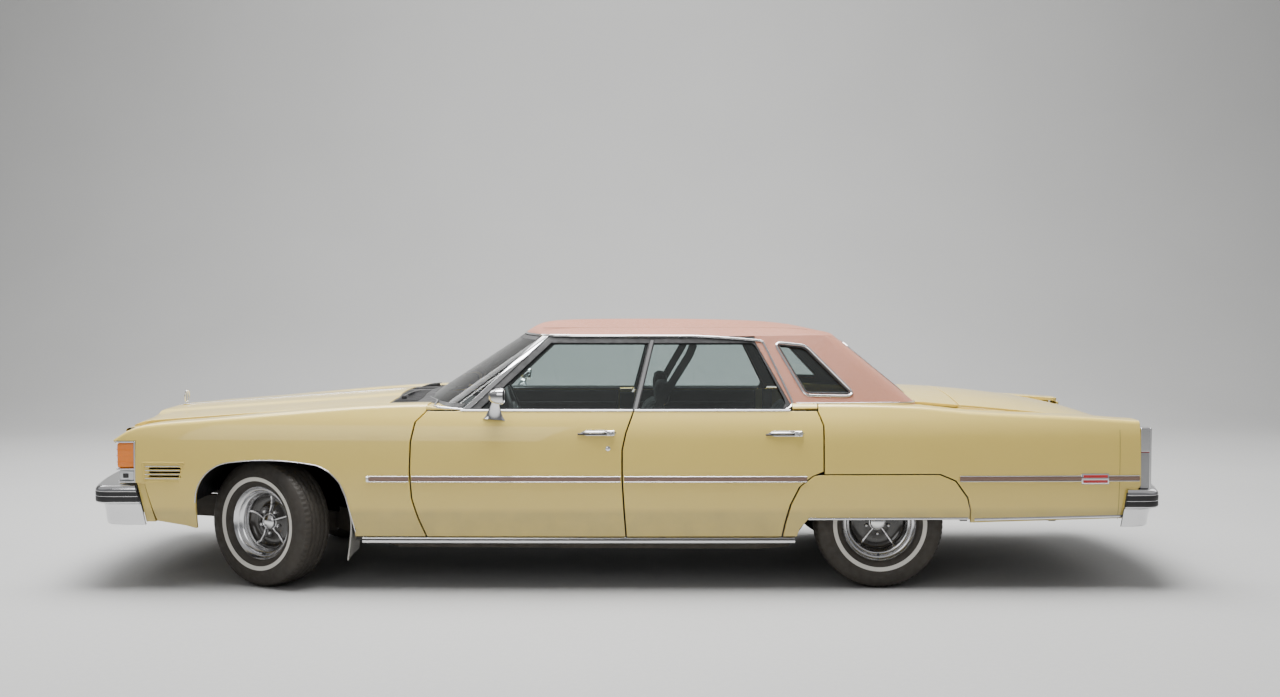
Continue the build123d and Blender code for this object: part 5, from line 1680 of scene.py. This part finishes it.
seat_channels = [("Y", y, 7) for y in (150, 240, 330, 510, 600, 690)]
pads = [cushion("front_cushion_left", -20, 478, 14, 776, 372, 562, slope=0.06, channels=seat_channels),
        cushion("front_back_left", -172, -62, 18, 770, 470, 935, lean=0.25,
                channels=seat_channels + [("Z", 830, 6)]),
        cushion("headrest_left", -236, -150, 292, 548, 950, 1088, swell=8, voxel=0.004, power=3.5,
                channels=[("Z", 1062, 4)])]
pads += [twin(obj, obj.name.replace("left", "right")) for obj in list(pads)]
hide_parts("front_seat")
rear_channels = [("Y", y, 7) for y in range(-500, 501, 100)]
rear_pads = [cushion("rear_cushion", -840, -392, -598, 598, 372, 562, slope=0.05, channels=rear_channels),
             cushion("rear_back", -990, -860, -598, 598, 480, 940, lean=0.22,
                     channels=rear_channels + [("Z", 850, 6)])]
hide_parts("rear_seat")
base_parts = blocks("trim", *[(-60, 440, side * 160, side * 770, 262, 380, 14) for side in (-1, 1)],
                    *[(-190, -120, side * 40, side * 760, 300, 470, 20) for side in (-1, 1)])
for side in (-1, 1):
    for y in (380, 460):
        base_parts.append((run([(-196, side * y, 930), (-194, side * y, 962)], oval(6, 6, 10)), "chrome"))
dressed("seat_frames", base_parts, sides=False)
rear_base = blocks("trim", *[(-858, -420, side * 160, side * 596, 262, 384, 14) for side in (-1, 1)])
dressed("rear_seat_base", rear_base, sides=False)

# Shoulder belt from the roof rail to the driver's seat
belt_path = [(-365, 640, 1300), (-340, 655, 1240), (-250, 600, 1090), (-190, 560, 985), (-140, 560, 900)]
belt_parts = [(run(resample(belt_path, 24), oval(1.6, 23, 10, 4.0), up=(0.7, 0.1, 0.6)), "carpet")]
dressed("shoulder_belt", belt_parts)


# Dashboard, column and steering wheel
dash_rows = [(1096, 916), (1000, 918), (948, 914), (925, 902), (912, 884), (905, 866), (903, 846), (906, 800),
             (915, 760), (935, 715), (965, 668), (1010, 642), (1096, 640)]


def dash_section(y):
    hood = 14 * math.exp(-(abs(y - 400) / 190.0) ** 4)
    return [(x - (hood if 860 < z < 915 else 0), y, z + (hood * 0.4 if z > 880 else 0)) for x, z in dash_rows]


dash = facing(grid(dash_section, spaced(-774, 774, 43)), (-1, 0, 0.2))
dash_parts = [(dash, "trim")]
for y, side in ((-774, -1), (774, 1)):
    dash_parts.append((face_of([(x, y, z) for x, z in dash_rows], (0, side, 0)), "trim"))
dash_parts += blocks("gloss_black", (893, 906, 210, 590, 770, 872, 8))
for y in (270, 400, 530):
    dash_parts += [(stud([(44, 0), (44, 4), (40, 5), (38, 2)], 40, (893, y, 822), 1), "chrome"),
                   (stud([(38, 1.2), (4, 1.2), (4, 3), (0.01, 3)], 40, (893, y, 822), 1), "black")]
    dash_parts += blocks("white_lens", (889.5, 891, y - 1.2, y + 1.2, 822, 856, 0.6))
dash_parts += blocks("brown_bar", (896, 906, -600, 170, 820, 862, 5))
dash_parts += blocks("chrome", (893, 900, -600, 170, 817, 820.5, 1.4), (893, 900, -600, 170, 861, 864.5, 1.4))
for y, k in product((-560, -60, 120), range(6)):
    dash_parts += blocks("satin", (893, 897, y - 36, y + 36, 826 + k * 5.4, 828 + k * 5.4, 0.8))
dash_parts += blocks("gloss_black", (900, 912, -90, 130, 724, 806, 6))
for y in (-60, 100):
    dash_parts.append((stud([(15, 0), (14, 14), (11, 17), (0.01, 17.5)], 24, (900, y, 765), 1), "chrome"))
hub = Vector((640, 400, 905))
axis = Vector((-cos(radians(19)), 0, sin(radians(19))))
shaft = [tuple(hub - axis * d) for d in (2, 40, 120, 200, 280, 340)]
dash_parts.append((run(shaft, oval(30, 30, 24), up=(0, 1, 0)), "trim"))
stalk = [tuple(hub - axis * 70 + Vector((0, d, d * 0.15))) for d in (28, 60, 100, 140)]
dash_parts.append((run(stalk, oval(5, 5, 10)), "chrome"))
dressed("dashboard_face", dash_parts, sides=False, replaces=["dashboard"])

flat, tall = Vector((0, 1, 0)), axis.cross(Vector((0, 1, 0))).normalized()


def on_wheel(a, b, lift):
    return tuple(hub + flat * a + tall * b + axis * lift)


def rim_path(radius):
    turns = [2 * math.pi * k / 72 for k in range(74)]
    return [on_wheel(radius * cos(t), radius * sin(t), 12) for t in turns]


def spoke_path(side, lift, reach):
    return [on_wheel(side * a, -10 * (1 - a / 180), lift + 3 * sin(math.pi * a / 180))
            for a in spaced(*reach)]


wheel_parts = [(run(rim_path(183), oval(11, 11.5, 16), up=tuple(axis)), "trim"),
               (run(rim_path(171.5), oval(2, 4, 8), up=tuple(axis)), "chrome")]
for side in (-1, 1):
    wheel_parts += [(run(spoke_path(side, 10, (30, 174, 18)), oval(6, 22, 16, 3.0), up=tuple(tall)), "trim"),
                    (run(spoke_path(side, 17, (60, 160, 20)), oval(1.5, 5, 8), up=tuple(tall)), "chrome")]
turn_to = Vector((0, 1, 0)).rotation_difference(axis).to_matrix().to_4x4()
boss = moved(lathe([(60, 4), (60, 14), (55, 21), (40, 25), (0.01, 26)], 40),
             Matrix.Translation(hub) @ turn_to)
boss_ring = moved(lathe([(38, 24.5), (37, 27), (33, 27.5), (32, 25)], 40), Matrix.Translation(hub) @ turn_to)
wheel_parts += [(boss, "trim"), (boss_ring, "chrome")]
dressed("steering_rim", wheel_parts, "steering_wheel", sides=False, replaces=["steering_wheel"])

# Door trim: padded card with sewn pleats, armrest, pull and sill strip
card_top, card_low = 952.0, 306.0


def card_section(xa, xb):
    def section(x):
        rows = []
        for k in range(34):
            z = card_top - (card_top - card_low) * k / 33
            lap = max(0.0, min(1.0, (card_top - z) / 14, (z - card_low) / 12, (x - xa) / 12, (xb - x) / 12))
            pleat = 2.6 * abs(sin(math.pi * (x - xa) / 60.0)) if 640 < z < 860 else 0
            rows.append((x, door_inner - 16 * lap ** 0.5 - pleat * lap + 2, z))
        return rows
    return section


for name, ring, xa, xb in (("front_door", front_ring, 70, 1010), ("rear_door", rear_ring, -820, -52)):
    card = trim(facing(grid(card_section(xa, xb), spaced(xa, xb, 10)), (0, -1, 0)), inset(ring, 14))
    ring_xs = [p[0] for p in ring]
    back = grid(lambda x: [(x, door_inner + 1, z) for z in spaced(956, 280, 40)],
                spaced(max(ring_xs), min(ring_xs), 30))
    back = facing(trim(back, inset(ring, 6)), (0, -1, 0))
    mid = (xa + xb) / 2
    arm = run([(x, 836, 618 + 10 * sin(math.pi * (x - mid + 250) / 1000))
               for x in spaced(mid - 250, mid + 250, 25)],
              oval(26, 22, 20, 3.4), taper=3)
    parts = [(back, "paint_inner"), (card, "trim"), (arm, "trim"),
             (run([(x, 851, 600) for x in spaced(mid - 230, mid + 230, 40)], oval(3, 3, 8)), "chrome"),
             (run([(x, 850, 868) for x in spaced(xa + 20, xb - 20, 60)], oval(3, 4, 8)), "chrome"),
             (run([(x, 853, 420) for x in spaced(xa + 20, xb - 20, 60)], oval(3, 3, 8)), "satin"),
             (run([(mid + 150 + 90 * k / 6, 842, 744) for k in range(7)], oval(6, 7, 10), taper=2), "chrome")]
    dressed(name + "_card", parts, name)
    cap_line = run([(x, 900, 953) for x in spaced(xa - 10, xb + 20, 40)], oval(24, 7, 16, 3.4))
    dressed(name + "_sill", [(cap_line, "trim")], name)

# Carpet over the floor and the tunnel, and the shelf behind the rear seat
def floor_section(x):
    rows = []
    for y in spaced(-838, 838, 28):
        k = 1 / (1 + math.exp((abs(y) - 165) / 16.0))
        rows.append((x, y, 256 + 170 * k + (0.9 if int(abs(y) / 28) % 2 else 0)))
    return rows


def toe_section(t):
    """Across the slope ahead of the feet, at a share of its length."""
    low = {y: 426 if abs(y) < 150 else 256 for y in spaced(-770, 770, 28)}
    return [(985 + 100 * t, y, z + (434 - z) * t) for y, z in low.items()]


carpet = facing(grid(floor_section, spaced(-850, 985, 40)), (0, 0, 1))
toe = facing(grid(toe_section, [k / 5 for k in range(6)]), (-1, 0, 1))
dressed("carpet", [(joined(carpet, toe), "carpet")], sides=False)
shelf = grid(lambda x: [(x, y, 953 + 2 * cos(y / 300)) for y in spaced(-600, 600, 40)],
             spaced(-1556, -1046, 30))
shelf = facing(shelf, (0, 0, 1))
dressed("parcel_shelf", [(shelf, "carpet")], sides=False)


# What stays as the CAD node takes its look here
kept = {"tyre": "tyre", "wheel": "bright", "roof": "vinyl", "windshield": "window", "front_bumper": "chrome",
        "rear_bumper": "chrome", "bumper_fillers": "paint", "mirror": "chrome", "grille": "chrome",
        "header_panel": "paint", "hood": "paint", "trunk_lid": "paint", "deck_panel": "paint",
        "front_door": "paint", "rear_door": "paint", "front_fender": "paint", "quarter": "paint",
        "fender_skirts": "paint", "front_lamps": "clear_lens", "tail_lamps": "red_lens",
        "tail_panel": "paint", "chassis_frame": "chassis", "front_arms": "chassis", "knuckle": "iron",
        "rear_axle": "chassis", "floor_pan": "trim", "rockers": "black", "engine": "iron", "exhaust": "steel",
        "fuel_tank": "steel", "dashboard": "trim", "steering_wheel": "trim", "front_seat": "cloth",
        "rear_seat": "cloth"}
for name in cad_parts:
    obj = bpy.data.objects.get(name)
    if obj is None:
        continue
    longest = sorted(kept, key=len, reverse=True)
    key = "window" if "glass" in name else kept[next(k for k in longest if name.startswith(k))]
    for i in range(len(obj.material_slots)):
        obj.material_slots[i].material = looks[key]
